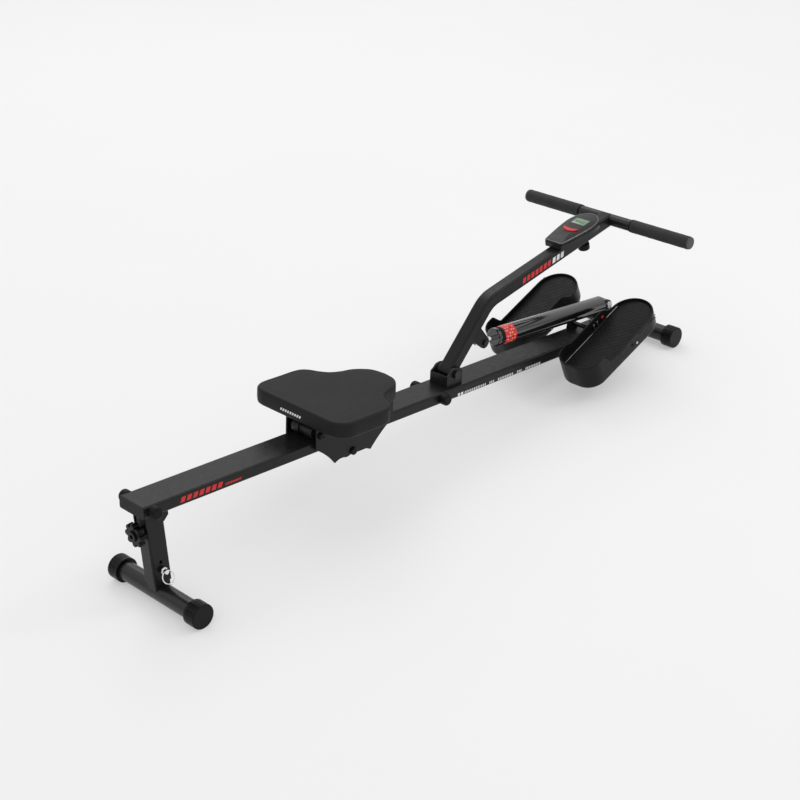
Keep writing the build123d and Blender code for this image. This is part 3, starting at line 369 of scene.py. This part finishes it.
SEAT_S = 442 * MM
SEAT_BASE = 45 * MM
SEAT_TOP = 83 * MM
SEAT_CENTRE = Vector((SEAT_S + 112 * MM, 0))
SEAT_ROLL = 7 * MM
SEAT_CROWN = 1.8 * MM
SEAT_DISH = 3.2 * MM
SEAT_DISH_AT = 95 * MM
# Inset and height of the cushion's lower rings, in millimetres
SEAT_SIDE = ((20, 0), (9, 0), (3.5, 1.0), (1.2, 3.5), (0.6, 7), (0.2, 12), (0.0, 18), (0.2, 22))
WELT_LEVEL = SEAT_BASE + 3.4 * MM


def seat_outline(count):
    """Saddle outline: straight rear, rounded corners, waisted front and round nose."""
    rear_corner = [(0, 0.108), (3.2, 0.124), (12.3, 0.1377), (26, 0.1468), (42, 0.15)]
    flank = [(70, 0.15), (100, 0.15), (130, 0.15), (152, 0.145), (167, 0.13), (178, 0.108), (192, 0.09)]
    nose = [(215, 0.078), (240, 0.071), (262, 0.056), (279, 0.034), (285, 0.0)]
    half = [Vector((SEAT_S + a * MM, b)) for a, b in rear_corner + flank + nose]
    curve = smooth_curve(half, 8)
    mirrored = [Vector((p.x, -p.y)) for p in reversed(curve)]
    loop = list(reversed(curve[:-1] + mirrored))
    return resample(loop, count)


def seat_cushion():
    """Foam saddle under a tight vinyl cover: rolled top edge, tucked lower edge, soft dish."""
    outline = seat_outline(200)
    rings = []
    for depth, height in SEAT_SIDE:
        rings.append([(p, SEAT_BASE + height * MM) for p in inset(outline, depth * MM)])
    for k in range(1, 9):
        angle = math.radians(90 * k / 8)
        loop = inset(outline, SEAT_ROLL * (1 - math.cos(angle)) + 0.2 * MM)
        rings.append([(p, SEAT_TOP - SEAT_ROLL + SEAT_ROLL * math.sin(angle)) for p in loop])
    edge = inset(outline, SEAT_ROLL + 0.2 * MM)
    for share in (0.97, 0.92, 0.86, 0.78, 0.69, 0.59, 0.48, 0.37, 0.26, 0.15, 0.06):
        crown = SEAT_CROWN * (1 - share ** 6)
        ring = []
        for p in edge:
            q = SEAT_CENTRE + (p - SEAT_CENTRE) * share
            along = (q.x - SEAT_S - SEAT_DISH_AT) / 0.09
            across = q.y / 0.11
            dish = -SEAT_DISH * math.exp(-along ** 2 - across ** 2)
            ring.append((q, SEAT_TOP + crown + dish))
        rings.append(ring)
    solid = [[RAIL @ Vector((p.x, p.y, h)) for p, h in ring] for ring in rings]
    made = loft("seat_cushion_vinyl", solid, VINYL)
    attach(made, "seat_carriage")
    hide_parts("seat_cushion")


def seat_welt():
    """Thin sewn welt where the cover turns under the cushion."""
    outline = inset(seat_outline(200), 2.2 * MM)
    made = bead("seat_welt", outline, RAIL, WELT_LEVEL, 0.8 * MM, RUBBER)
    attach(made, "seat_carriage")


seat_cushion()
seat_welt()


# ---------------------------------------------------------------- handlebar grips

GRIP_R = 16.8 * MM
BAR_R = 15 * MM
SLEEVE_BORE = BAR_R + 0.05 * MM
GRIP_INNER = 84 * MM
GRIP_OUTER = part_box("grip_left")[1].y


def foam_grip(side, name):
    """Foam sleeve with rolled ends and a slightly uneven skin."""
    roll = 3.2 * MM
    bore = SLEEVE_BORE
    quarter = [math.radians(15 * k) for k in range(7)]
    profile = [(GRIP_INNER, bore)]
    for angle in quarter:
        along = GRIP_INNER + roll * (1 - math.cos(angle))
        profile.append((along, GRIP_R - min(roll, GRIP_R - bore) * (1 - math.sin(angle))))
    for k in range(1, 24):
        along = GRIP_INNER + roll + (GRIP_OUTER - GRIP_INNER - 2 * roll) * k / 24
        wave = 0.18 * MM * math.sin(along * 210) * math.sin(along * 67 + 1)
        profile.append((along, GRIP_R - 0.2 * MM + wave))
    for angle in quarter:
        along = GRIP_OUTER - roll * (1 - math.sin(angle))
        profile.append((along, GRIP_R - min(roll, GRIP_R - bore) * (1 - math.cos(angle))))
    profile.append((GRIP_OUTER, bore))
    made = lathe(name, profile, side_matrix(BAR.x, BAR.z, side), FOAM, segments=56)
    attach(made, "handle_arm")
    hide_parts("grip_left" if side > 0 else "grip_right")


def grip_collar(side, name):
    """Thin rubber ring against the foam's inner end."""
    width = 3.2 * MM
    lip = 0.5 * MM
    bore = SLEEVE_BORE
    top = BAR_R + 1.5 * MM
    start = GRIP_INNER - width
    end = GRIP_INNER - 0.3 * MM
    profile = [(start, bore), (start, top - lip), (start + lip, top), (end - lip, top), (end, top - lip),
               (end, bore)]
    made = lathe(name, profile, side_matrix(BAR.x, BAR.z, side), RUBBER, segments=48)
    sharpen(made)
    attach(made, "handle_arm")


for side, label in ((1, "left"), (-1, "right")):
    foam_grip(side, f"foam_grip_{label}")
    grip_collar(side, f"grip_collar_{label}")


# ---------------------------------------------------------------- pedals

PEDAL_PITCH = math.radians(19.5)
AXLE_TO_HEEL = Vector((-188.4, 0, -27.3)) * MM
PEDAL_LENGTH = 308 * MM
PEDAL_HALF = 60 * MM
HEEL_DEPTH = 42 * MM
TOE_DEPTH = 51 * MM
BED_LEVEL = -15 * MM
TOE_BED_LEVEL = -6 * MM
TOE_BED_START = 200 * MM
BED_CENTRE = Vector((154 * MM, 0))
TUB_BELLY = 10 * MM
TUB_LIP = 1.9 * MM
TUB_WALL = 4.2 * MM
TUB_POINTS = 216
QUILT_PITCH = 16 * MM
QUILT_RISE = 1.1 * MM
FILL_SHARES = (0.12, 0.35, 0.62, 0.85)
# Wall height over the rim in millimetres, away from the rail and next to it
OUTER_RIM = ((56, 32), (86, 0))
INNER_RIM = ((56, 32), (80, 22), (204, 22), (244, 0))
# Outer wall details: start, end and level of each slot, level of each bead, place and radius of each boss
SIDE_SLOTS = ((0.112, 0.15, -8), (0.2, 0.232, -8.5), (0.24, 0.272, -9))
SLOT_BEADS = (-4.5, -13)
STRAP_BOSSES = ((0.171, -23, 5.2 * MM), (0.187, -27, 3.4 * MM))


def ease(share):
    """Smooth step from 0 to 1."""
    share = min(1.0, max(0.0, share))
    return share * share * (3 - 2 * share)


def rim_height(u, profile):
    """Eased height along a rim profile in millimetres."""
    u = u / MM
    if u <= profile[0][0]:
        return profile[0][1] * MM
    for (a, low), (b, high) in zip(profile, profile[1:]):
        if u <= b:
            return (low + (high - low) * ease((u - a) / (b - a))) * MM
    return profile[-1][1] * MM


def rim_at(p, inner):
    """Rim height at a point of the tub's outline; inner is the sign of the side next to the rail."""
    return rim_height(p.x, INNER_RIM if p.y * inner > 0 else OUTER_RIM)


def pedal_frame(label):
    """Frame of a foot tub: +X from heel to toe, +Z out of the bed, origin at the rim's heel."""
    axle = Vector(joint(f"{label}_pedal_tilt")["pos_m"])
    return tilted(axle + AXLE_TO_HEEL, (math.cos(PEDAL_PITCH), 0, math.sin(PEDAL_PITCH)))


def tub_outline(count):
    """Foot shape: broad rounded heel and a round toe."""
    heel = 46 * MM
    points = []
    for k in range(13):
        angle = math.radians(90 * k / 12)
        rise = PEDAL_HALF - heel + heel * math.sin(angle)
        points.append(Vector((heel - heel * math.cos(angle), rise)))
    for k in range(25):
        angle = math.radians(180 * k / 24)
        centre = PEDAL_LENGTH - PEDAL_HALF
        points.append(Vector((centre + PEDAL_HALF * math.sin(angle), PEDAL_HALF * math.cos(angle))))
    for k in range(13):
        angle = math.radians(90 * k / 12)
        fall = -PEDAL_HALF + heel - heel * math.cos(angle)
        points.append(Vector((heel - heel * math.sin(angle), fall)))
    return resample(list(reversed(points)), count)


def tub_depth(u):
    """Depth of the tub's underside below its rim."""
    return HEEL_DEPTH + (TOE_DEPTH - HEEL_DEPTH) * u / PEDAL_LENGTH


def bed_height(u):
    """Height of the foot bed: flat, then rising a little to the toe."""
    share = max(0.0, (u - TOE_BED_START) / (PEDAL_LENGTH - TOE_BED_START))
    return BED_LEVEL + (TOE_BED_LEVEL - BED_LEVEL) * share


def tub_shell(label, place, inner):
    """Moulded tub: rounded belly, stepped wall with a rolled rim, and the inside down to the bed."""
    outline = tub_outline(TUB_POINTS)
    rings = []

    def side_level(p, share):
        return (TUB_BELLY - tub_depth(p.x)) * (1 - share) + (rim_at(p, inner) - TUB_LIP) * share

    def inside_level(p, share):
        return (rim_at(p, inner) - TUB_LIP) * (1 - share) + (bed_height(p.x) - MM) * share

    def ring(depth, level):
        loop = inset(outline, depth)
        return [place @ Vector((q.x, q.y, level(p))) for p, q in zip(outline, loop)]

    for share in FILL_SHARES:
        loop = shrunk(inset(outline, TUB_BELLY), BED_CENTRE, share)
        rings.append([place @ Vector((q.x, q.y, -tub_depth(q.x))) for q in loop])
    for k in range(9):
        angle = math.radians(90 * k / 8)
        out = TUB_BELLY * (1 - math.sin(angle))
        drop = TUB_BELLY * (1 - math.cos(angle))
        rings.append(ring(out, lambda p, drop=drop: -tub_depth(p.x) + drop))
    for share in (0.25, 0.5, 0.75, 0.9):
        rings.append(ring(0.0, lambda p, t=share: side_level(p, t)))
    for k in range(7):
        angle = math.radians(30 * k)
        out = TUB_LIP * (1 - math.cos(angle))
        rise = TUB_LIP * math.sin(angle)
        rings.append(ring(out, lambda p, rise=rise: rim_at(p, inner) - TUB_LIP + rise))
    for share in (0.3, 0.6, 1.0):
        rings.append(ring(TUB_WALL, lambda p, t=share: inside_level(p, t)))
    for share in reversed(FILL_SHARES):
        loop = shrunk(inset(outline, TUB_WALL), BED_CENTRE, share)
        rings.append([place @ Vector((q.x, q.y, bed_height(q.x) - MM)) for q in loop])
    made = loft(f"foot_tub_{label}", rings, TUB)
    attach(made, f"pedal_{label}")
    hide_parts(f"pedal_{label}")


def quilted_bed(label, place):
    """Rubber foot bed with raised diamond quilting."""
    loop = inset(tub_outline(TUB_POINTS), TUB_WALL + 0.1 * MM)
    rings = []
    for share in FILL_SHARES + (1.0,):
        under = shrunk(loop, BED_CENTRE, share)
        rings.append([place @ Vector((q.x, q.y, bed_height(q.x) - 0.8 * MM)) for q in under])
    for step in range(56, 0, -1):
        share = step / 56
        fade = min(1.0, (1 - share) / 0.05)
        ring = []
        for q in shrunk(loop, BED_CENTRE, share):
            a = math.sin(math.pi * (q.x + q.y) / QUILT_PITCH)
            b = math.sin(math.pi * (q.x - q.y) / QUILT_PITCH)
            quilt = QUILT_RISE * math.sqrt(abs(a * b)) * fade
            ring.append(place @ Vector((q.x, q.y, bed_height(q.x) + quilt)))
        rings.append(ring)
    made = loft(f"foot_bed_{label}", rings, BED)
    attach(made, f"pedal_{label}")
    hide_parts(f"pedal_pad_{label}")


def slide_strip(label, place, inner, number, start, end, radius, drop):
    """Round metal strip along the inner wall that the foot strap slides on."""
    rings = []
    for k in range(25):
        u = start + (end - start) * k / 24
        thickness = radius * min(1.0, 0.35 + 6 * min(k, 24 - k) / 24)
        centre = Vector((u, inner * (PEDAL_HALF - 5.4 * MM), drop))
        ring = []
        for n in range(10):
            angle = 2 * math.pi * n / 10
            around = Vector((0, thickness * math.cos(angle), thickness * math.sin(angle)))
            ring.append(place @ (centre + around))
        rings.append(ring)
    made = loft(f"slide_strip_{number}_{label}", rings, SLIDE_METAL_AND_RIM_HIGHLIGHT)
    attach(made, f"pedal_{label}")


def rounded_plate(name, place, size, surface, bevel, body, segments=3):
    """Box with rounded edges, centred in its place."""
    work = bmesh.new()
    bmesh.ops.create_cube(work, size=1.0)
    bmesh.ops.scale(work, vec=size, verts=work.verts)
    bmesh.ops.bevel(work, geom=list(work.edges), offset=bevel, segments=segments, profile=0.5,
                    affect="EDGES")
    bmesh.ops.transform(work, matrix=place, verts=work.verts)
    mesh = bpy.data.meshes.new(name)
    work.to_mesh(mesh)
    work.free()
    mesh.materials.append(surface)
    for face in mesh.polygons:
        face.use_smooth = True
    made = bpy.data.objects.new(name, mesh)
    bpy.context.scene.collection.objects.link(made)
    sharpen(made, 40)
    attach(made, body)
    return made


def outer_trim(label, place, inner):
    """Vent slots, lighter grey beads above and below them as painted highlight lines on the slots' edges,
    and the strap's screw on the tub's outer wall.
    """
    face = -inner * (PEDAL_HALF - 0.1 * MM)
    body = f"pedal_{label}"
    for number, (start, end, level) in enumerate(SIDE_SLOTS, 1):
        centre = place @ Matrix.Translation(((start + end) / 2, face, level * MM))
        rounded_plate(f"side_slot_{number}_{label}", centre, (end - start, 1.0 * MM, 3.6 * MM), RUBBER,
                      0.4 * MM, body)
    # The beads are painted highlight lines: lighter grey strips along the slots' upper and lower edges
    for number, level in enumerate(SLOT_BEADS, 1):
        centre = place @ Matrix.Translation((0.192, face, level * MM))
        rounded_plate(f"slot_bead_{number}_{label}", centre, (0.168, 1.2 * MM, 1.1 * MM), TUB_HIGHLIGHT_LINE,
                      0.35 * MM, body)
    turn = Matrix.Rotation(-inner * math.pi / 2, 4, "Z")
    for number, (u, level, radius) in enumerate(STRAP_BOSSES, 1):
        boss = place @ Matrix.Translation((u, face, level * MM)) @ turn
        profile = [(-0.001, 0.0001), (-0.001, radius), (0.001, radius), (0.0017, radius - 0.0008),
                   (0.0017, radius * 0.5), (0.0009, radius * 0.42), (0.0009, 0.0001)]
        surface = TUB if number == 1 else STEEL
        made = lathe(f"strap_boss_{number}_{label}", profile, boss, surface, segments=28, closed=False)
        sharpen(made)
        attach(made, body)


def strap_buckle(label, place, inner):
    """Small catch on the raised wall: a block, two pale bars and a red release dot."""
    face = inner * (PEDAL_HALF - 4.6 * MM)
    body = f"pedal_{label}"
    block = place @ Matrix.Translation((0.184, face, 3 * MM))
    rounded_plate(f"buckle_{label}", block, (0.052, 0.0024, 0.016), MOULDED, 0.7 * MM, body)
    for number, shift in enumerate((-0.019, -0.004), 1):
        bar = block @ Matrix.Translation((shift, -inner * 1.5 * MM, 0))
        rounded_plate(f"buckle_bar_{number}_{label}", bar, (0.0045, 0.0012, 0.014), STEEL, 0.4 * MM, body)
    turn = Matrix.Rotation(-inner * math.pi / 2, 4, "Z")
    dot = block @ Matrix.Translation((0.018, -inner * 1.2 * MM, 0.003)) @ turn
    profile = [(-0.0005, 0.0001), (-0.0005, 0.0042), (0.0008, 0.004), (0.0014, 0.003), (0.0016, 0.0001)]
    made = lathe(f"buckle_button_{label}", profile, dot, RED, segments=24, closed=False)
    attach(made, body)


for inner, label in ((-1, "left"), (1, "right")):
    place = pedal_frame(label)
    tub_shell(label, place, inner)
    quilted_bed(label, place)
    slide_strip(label, place, inner, 1, 0.034, 0.156, 0.9 * MM, BED_LEVEL + 3 * MM)
    slide_strip(label, place, inner, 2, 0.214, 0.268, 1.5 * MM, BED_LEVEL + 7 * MM)
    outer_trim(label, place, inner)
    strap_buckle(label, place, inner)


# ---------------------------------------------------------------- cylinder label

CYLINDER_R = 23 * MM
LABEL_START = 383 * MM
LABEL_END = 424 * MM
FILM_INNER_R = CYLINDER_R - 0.1 * MM
BAND_R = CYLINDER_R + 0.15 * MM
BAND_ROWS = 11
BAND_ROW_ANGLE = 19
BAND_MIDDLE_ANGLE = 225
# Each column of blocks on the band: start and length in millimetres, and its ink
BAND_COLUMNS = ((389, 4, PINK_MARK), (397, 5, YELLOW_MARK), (406, 4, PINK_MARK), (414, 5, PINK_MARK))


def cylinder_patch(name, start, end, middle_angle, width, height, surface):
    """Thin film on the barrel: along from start to end, and an angle's width round it."""
    steps = max(3, int(width / 6))
    inside = []
    outside = []
    for k in range(steps + 1):
        angle = math.radians(middle_angle - width / 2 + width * k / steps)
        around = Vector((0, math.cos(angle), math.sin(angle)))
        for along in (start, end):
            foot = Vector((along, 0, 0))
            inside.append(CYLINDER @ (foot + around * FILM_INNER_R))
            outside.append(CYLINDER @ (foot + around * (CYLINDER_R + height)))
    rings = []
    for k in range(steps + 1):
        rings.append([inside[2 * k], inside[2 * k + 1], outside[2 * k + 1], outside[2 * k]])
    made = loft(name, rings, surface)
    sharpen(made, 40)
    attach(made, "cylinder")


def cylinder_label():
    """Red band near the barrel's upper end, with plain coloured blocks instead of print."""
    profile = [(LABEL_START, FILM_INNER_R), (LABEL_START, BAND_R), (LABEL_END, BAND_R),
               (LABEL_END, FILM_INNER_R)]
    made = lathe("cylinder_band", profile, CYLINDER, RED_LABEL, segments=72)
    sharpen(made)
    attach(made, "cylinder")
    number = 0
    for column, (along, length, surface) in enumerate(BAND_COLUMNS):
        for row in range(BAND_ROWS):
            if (row + column) % 3 == 1:
                continue
            number += 1
            angle = BAND_MIDDLE_ANGLE + (row - BAND_ROWS // 2) * BAND_ROW_ANGLE
            cylinder_patch(f"band_mark_{number}", along * MM, (along + length) * MM, angle, 8, 0.3 * MM,
                           surface)


cylinder_label()


# ---------------------------------------------------------------- plain printed stripes


def stripe_row(name, place, body, surface, start, count, width, gap, height, slant):
    """Row of slanted blocks standing a hair proud of a flat face; place's Y points into the face."""
    thick = 0.35 * MM
    vertices = []
    faces = []
    for k in range(count):
        left = start + k * (width + gap)
        right = left + width
        base = len(vertices)
        for depth in (-thick, thick):
            for x, z in ((left, -height / 2), (right, -height / 2), (right + slant, height / 2),
                         (left + slant, height / 2)):
                vertices.append(place @ Vector((x, depth, z)))
        quads = ((0, 1, 2, 3), (7, 6, 5, 4), (0, 4, 5, 1), (1, 5, 6, 2), (2, 6, 7, 3), (3, 7, 4, 0))
        faces += [tuple(base + n for n in quad) for quad in quads]
    made = piece(name, vertices, faces, surface, smooth=False)
    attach(made, body)


def at(base, x, y, z):
    """Place shifted along its own axes."""
    return base @ Matrix.Translation((x, y, z))


rail_face = -RAIL_HALF_WIDTH
arm_face = -18 * MM
# Start along the rail and number of blocks in each pale dash row
RAIL_DASHES = ((0.962, 12), (1.052, 3), (1.084, 9), (1.156, 3), (1.189, 9))

stripe_row("rail_stripes_wide", at(RAIL, 0, rail_face, -14 * MM), "frame", RED_MARK,
           0.091, 7, 11 * MM, 5.5 * MM, 12 * MM, 4 * MM)
stripe_row("rail_stripes_fine", at(RAIL, 0, rail_face, -17 * MM), "frame", RED_MARK,
           0.211, 9, 3.2 * MM, 1.8 * MM, 5 * MM, 2 * MM)
for number, (start, count) in enumerate(RAIL_DASHES, 1):
    stripe_row(f"rail_dashes_{number}", at(RAIL, 0, rail_face, -21 * MM), "frame", PALE_MARK,
               start, count, 3.0 * MM, 3.6 * MM, 6 * MM, 1.5 * MM)
stripe_row("rail_blocks", at(RAIL, 0, rail_face, -21 * MM), "frame", PALE_MARK,
           0.938, 2, 7.5 * MM, 3.5 * MM, 7 * MM, 0.0)
stripe_row("arm_stripes_red", at(UPPER_ARM, 0, arm_face, 0), "handle_arm", RED_MARK,
           -0.358, 7, 11 * MM, 5 * MM, 14 * MM, 4 * MM)
stripe_row("arm_stripes_pale", at(UPPER_ARM, 0, arm_face, 0), "handle_arm", PALE_MARK,
           -0.243, 3, 11 * MM, 5 * MM, 14 * MM, 4 * MM)
seat_rear = at(RAIL, SEAT_S, 0, 61 * MM) @ Matrix.Rotation(-math.pi / 2, 4, "Z")
stripe_row("seat_stripes", seat_rear, "seat_carriage", PALE_MARK,
           -0.046, 9, 5 * MM, 2.6 * MM, 6 * MM, 2 * MM)


# ---------------------------------------------------------------- monitor cover and display

MONITOR_BASE = 18.5 * MM
MONITOR_SPLIT = MONITOR_BASE + 12 * MM
MONITOR_TOP = MONITOR_BASE + 22 * MM
MONITOR_REAR = -214 * MM
MONITOR_FRONT = -48 * MM
MONITOR_CENTRE = Vector((-118 * MM, 0))
MONITOR_EDGE = 3.0 * MM
MONITOR_DOME = 3.4 * MM
MONITOR_FLAT = MONITOR_TOP - 0.7 * MM
# Inset and height of the shell's lower rings, in millimetres
MONITOR_SIDE = ((12, 0.5), (1.6, 0.5), (0.9, 0.7), (0.2, 1.2), (0.0, 2.0), (0.0, 3.4))
# Place along the arm, length and width of the display window
LCD = (-103 * MM, 26 * MM, 40 * MM)


def monitor_outline(count):
    """Shield outline: narrow rear with soft corners, widening to a round front."""
    rear = [(0, 0.022), (1.5, 0.0262), (6, 0.029), (16, 0.031)]
    flank = [(42, 0.0352), (70, 0.039), (92, 0.0412), (112, 0.0418), (130, 0.039), (146, 0.0325),
             (158, 0.021), (164.5, 0.0095), (166, 0.0)]
    half = [Vector((MONITOR_REAR + a * MM, b)) for a, b in rear + flank]
    curve = smooth_curve(half, 8)
    mirrored = [Vector((p.x, -p.y)) for p in reversed(curve)]
    return resample(list(reversed(curve[:-1] + mirrored)), count)


def monitor_cover():
    """Domed upper shell with a rolled edge and a shadow gap above the lower shell."""
    outline = monitor_outline(160)
    base = MONITOR_FLAT - MONITOR_DOME
    rings = []
    for depth, height in MONITOR_SIDE:
        rings.append([(p, MONITOR_SPLIT + height * MM) for p in inset(outline, depth * MM)])
    for k in range(1, 7):
        angle = math.radians(90 * k / 6)
        loop = inset(outline, MONITOR_EDGE * (1 - math.cos(angle)))
        rings.append([(p, base - MONITOR_EDGE * (1 - math.sin(angle))) for p in loop])
    rim = inset(outline, MONITOR_EDGE)
    for share in (0.96, 0.91, 0.85, 0.78, 0.7, 0.6, 0.48, 0.34, 0.2, 0.08):
        rise = MONITOR_DOME * (1 - ease((share - 0.5) / 0.5) ** 1.2)
        rings.append([(p, base + rise) for p in shrunk(rim, MONITOR_CENTRE, share)])
    solid = [[UPPER_ARM @ Vector((p.x, p.y, h)) for p, h in ring] for ring in rings]
    made = loft("monitor_dome", solid, MONITOR)
    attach(made, "handle_arm")
    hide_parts("monitor_cover")


def monitor_rim_highlight():
    """Slim raised line where the dome meets its rolled edge, in light metallic grey as a painted highlight
    along that edge.
    """
    outline = inset(monitor_outline(160), 2.8 * MM)
    # Light metallic grey on the black shell: a painted highlight along the dome's edge
    made = bead("monitor_rim_highlight", outline, UPPER_ARM, MONITOR_TOP - 4.2 * MM, 0.6 * MM, SLIDE_METAL_AND_RIM_HIGHLIGHT)
    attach(made, "handle_arm")


def frame_ring(name, place, length, width, border, height, surface):
    """Rectangular bezel with rounded corners and a chamfered section."""
    def loop(half_length, half_width, corner):
        points = []
        for quarter, (sx, sy) in enumerate(((1, 1), (-1, 1), (-1, -1), (1, -1))):
            for k in range(6):
                angle = math.radians(90 * quarter + 18 * k)
                points.append(Vector((sx * (half_length - corner) + corner * math.cos(angle),
                                      sy * (half_width - corner) + corner * math.sin(angle))))
        return points

    a = length / 2
    b = width / 2
    bevel = 0.4 * MM
    outer = (a + border, b + border)
    sections = ((*outer, 2.6, 0.0), (*outer, 2.6, height - bevel),
                (a + border - bevel, b + border - bevel, 2.2, height), (a + bevel, b + bevel, 1.2, height),
                (a, b, 0.8, height - bevel), (a, b, 0.8, 0.0))
    rings = []
    for half_length, half_width, corner, level in sections:
        section = loop(half_length, half_width, corner * MM)
        rings.append([place @ Vector((p.x, p.y, level)) for p in section])
    made = loft(name, rings, surface, closed=True)
    sharpen(made)
    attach(made, "handle_arm")


def display():
    """Grey-green display window in a pale bezel, with a row of dark unlit segments."""
    u, length, width = LCD
    level = MONITOR_TOP - 1.4 * MM
    place = at(UPPER_ARM, u, 0, level)
    glass = rounded_plate("display_glass", at(place, 0, 0, 0.45 * MM), (length, width, 0.9 * MM), DISPLAY,
                          0.2 * MM, "handle_arm")
    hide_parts("monitor_screen")
    frame_ring("display_bezel", place, length, width, 1.3 * MM, 1.4 * MM, BEZEL)
    for number in range(4):
        mark = at(place, -2 * MM, (number - 1.5) * 7.5 * MM, 0.95 * MM)
        rounded_plate(f"display_segment_{number + 1}", mark, (9 * MM, 4.2 * MM, 0.1 * MM), SEGMENT,
                      0.02 * MM, "handle_arm", segments=1)


monitor_cover()
monitor_rim_highlight()
display()


# ---------------------------------------------------------------- domed caps on the carriage's axle bolts

PLATE_FACE = 50 * MM


def bolt_cap(name, joint_name, side):
    """Moulded cap with a dark socket over a roller axle's head or nut."""
    centre = Vector(joint(joint_name)["pos_m"])
    outer = 9.6 * MM
    socket = 4.0 * MM
    profile = [(PLATE_FACE, 0.1 * MM), (PLATE_FACE, outer)]
    for k in range(1, 7):
        angle = math.radians(15 * k)
        rise = 3.2 * MM + 3.4 * MM * math.sin(angle)
        profile.append((PLATE_FACE + rise, socket + (outer - socket) * math.cos(angle)))
    profile += [(PLATE_FACE + 6.2 * MM, socket - 0.4 * MM), (PLATE_FACE + 5.9 * MM, socket - 0.8 * MM),
                (PLATE_FACE + 5.9 * MM, 0.1 * MM)]
    made = lathe(name, profile, side_matrix(centre.x, centre.z, side), MOULDED, segments=40, closed=False)
    sharpen(made, 50)
    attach(made, "seat_carriage")


for number, joint_name in enumerate(("rear_roller_turn", "front_roller_turn", "lower_roller_turn"), 1):
    for side, label in ((1, "left"), (-1, "right")):
        bolt_cap(f"axle_cap_{number}_{label}", joint_name, side)


# ---------------------------------------------------------------- camera, floor and light

WORLD_STRENGTH = 1.06
KEY_POWER = 30
EDGE_POWER = 16
FLOOR_GLOW = 0.37
LENS = 72.98
CAMERA = Vector((-2.39953, -2.38948, 2.01))
VIEW_HEADING = math.radians(-44.267)
VIEW_DOWN = math.radians(28.844)
VIEW_ROLL = math.radians(-3.035)


def camera():
    """Camera behind the right side, about two metres up, looking down on the machine."""
    level = math.cos(VIEW_DOWN)
    back = Vector((math.sin(VIEW_HEADING) * level, -math.cos(VIEW_HEADING) * level, math.sin(VIEW_DOWN)))
    right = (-back).cross(Vector((0, 0, 1))).normalized()
    up = back.cross(right)
    turned_right = right * math.cos(VIEW_ROLL) + up * math.sin(VIEW_ROLL)
    turned_up = up * math.cos(VIEW_ROLL) - right * math.sin(VIEW_ROLL)
    rotation = Matrix((turned_right, turned_up, back)).transposed().to_4x4()
    data = bpy.data.cameras.new("camera")
    data.lens = LENS
    data.sensor_width = 36.0
    data.clip_end = 50.0
    made = bpy.data.objects.new("camera", data)
    made.matrix_world = Matrix.Translation(CAMERA) @ rotation
    bpy.context.scene.collection.objects.link(made)
    bpy.context.scene.camera = made


def floor():
    """Wide pale floor under the machine."""
    surface = finish("pale_floor", (0.5, 0.5, 0.5), 0.7, mottle=0.01, mottle_scale=1.0, grain=0.0,
                     specular=0.1)
    shader = surface.node_tree.nodes["Principled BSDF"]
    shader.inputs["Emission Color"].default_value = (1, 1, 1, 1)
    shader.inputs["Emission Strength"].default_value = FLOOR_GLOW
    half = 30.0
    corners = [(-half, -half, 0), (half, -half, 0), (half, half, 0), (-half, half, 0)]
    made = piece("floor", corners, [(0, 1, 2, 3)], surface, smooth=False)


def area_light(name, location, target, size, power):
    """Rectangular lamp that faces its target."""
    data = bpy.data.lights.new(name, "AREA")
    data.shape = "RECTANGLE"
    data.size, data.size_y = size
    data.energy = power
    made = bpy.data.objects.new(name, data)
    made.location = location
    made.rotation_euler = (Vector(target) - Vector(location)).to_track_quat("-Z", "Y").to_euler()
    bpy.context.scene.collection.objects.link(made)


def light():
    """Overhead softbox room: bright above, dimmer towards the horizon."""
    world = bpy.data.worlds.new("studio")
    bpy.context.scene.world = world
    world.use_nodes = True
    tree = world.node_tree
    background = tree.nodes["Background"]
    place = node(tree, "ShaderNodeTexCoord")
    split = node(tree, "ShaderNodeSeparateXYZ")
    link(tree, place, "Generated", split, "Vector")
    ramp = node(tree, "ShaderNodeValToRGB")
    stops = ramp.color_ramp.elements
    stops[0].position = 0.0
    stops[0].color = (0.42, 0.42, 0.43, 1)
    stops[1].position = 1.0
    stops[1].color = (1.0, 1.0, 1.0, 1)
    middle_stop = stops.new(0.4)
    middle_stop.color = (0.8, 0.8, 0.8, 1)
    link(tree, split, "Z", ramp, "Fac")
    link(tree, ramp, "Color", background, "Color")
    background.inputs["Strength"].default_value = WORLD_STRENGTH
    area_light("key", (2.0, 3.4, 3.8), (0, 0, 0.1), (2.4, 2.4), KEY_POWER)
    area_light("edge", (2.0, -2.0, 2.8), (0, 0, 0.2), (1.0, 1.0), EDGE_POWER)


camera()
floor()
light()
bpy.context.scene.view_settings.view_transform = "Standard"
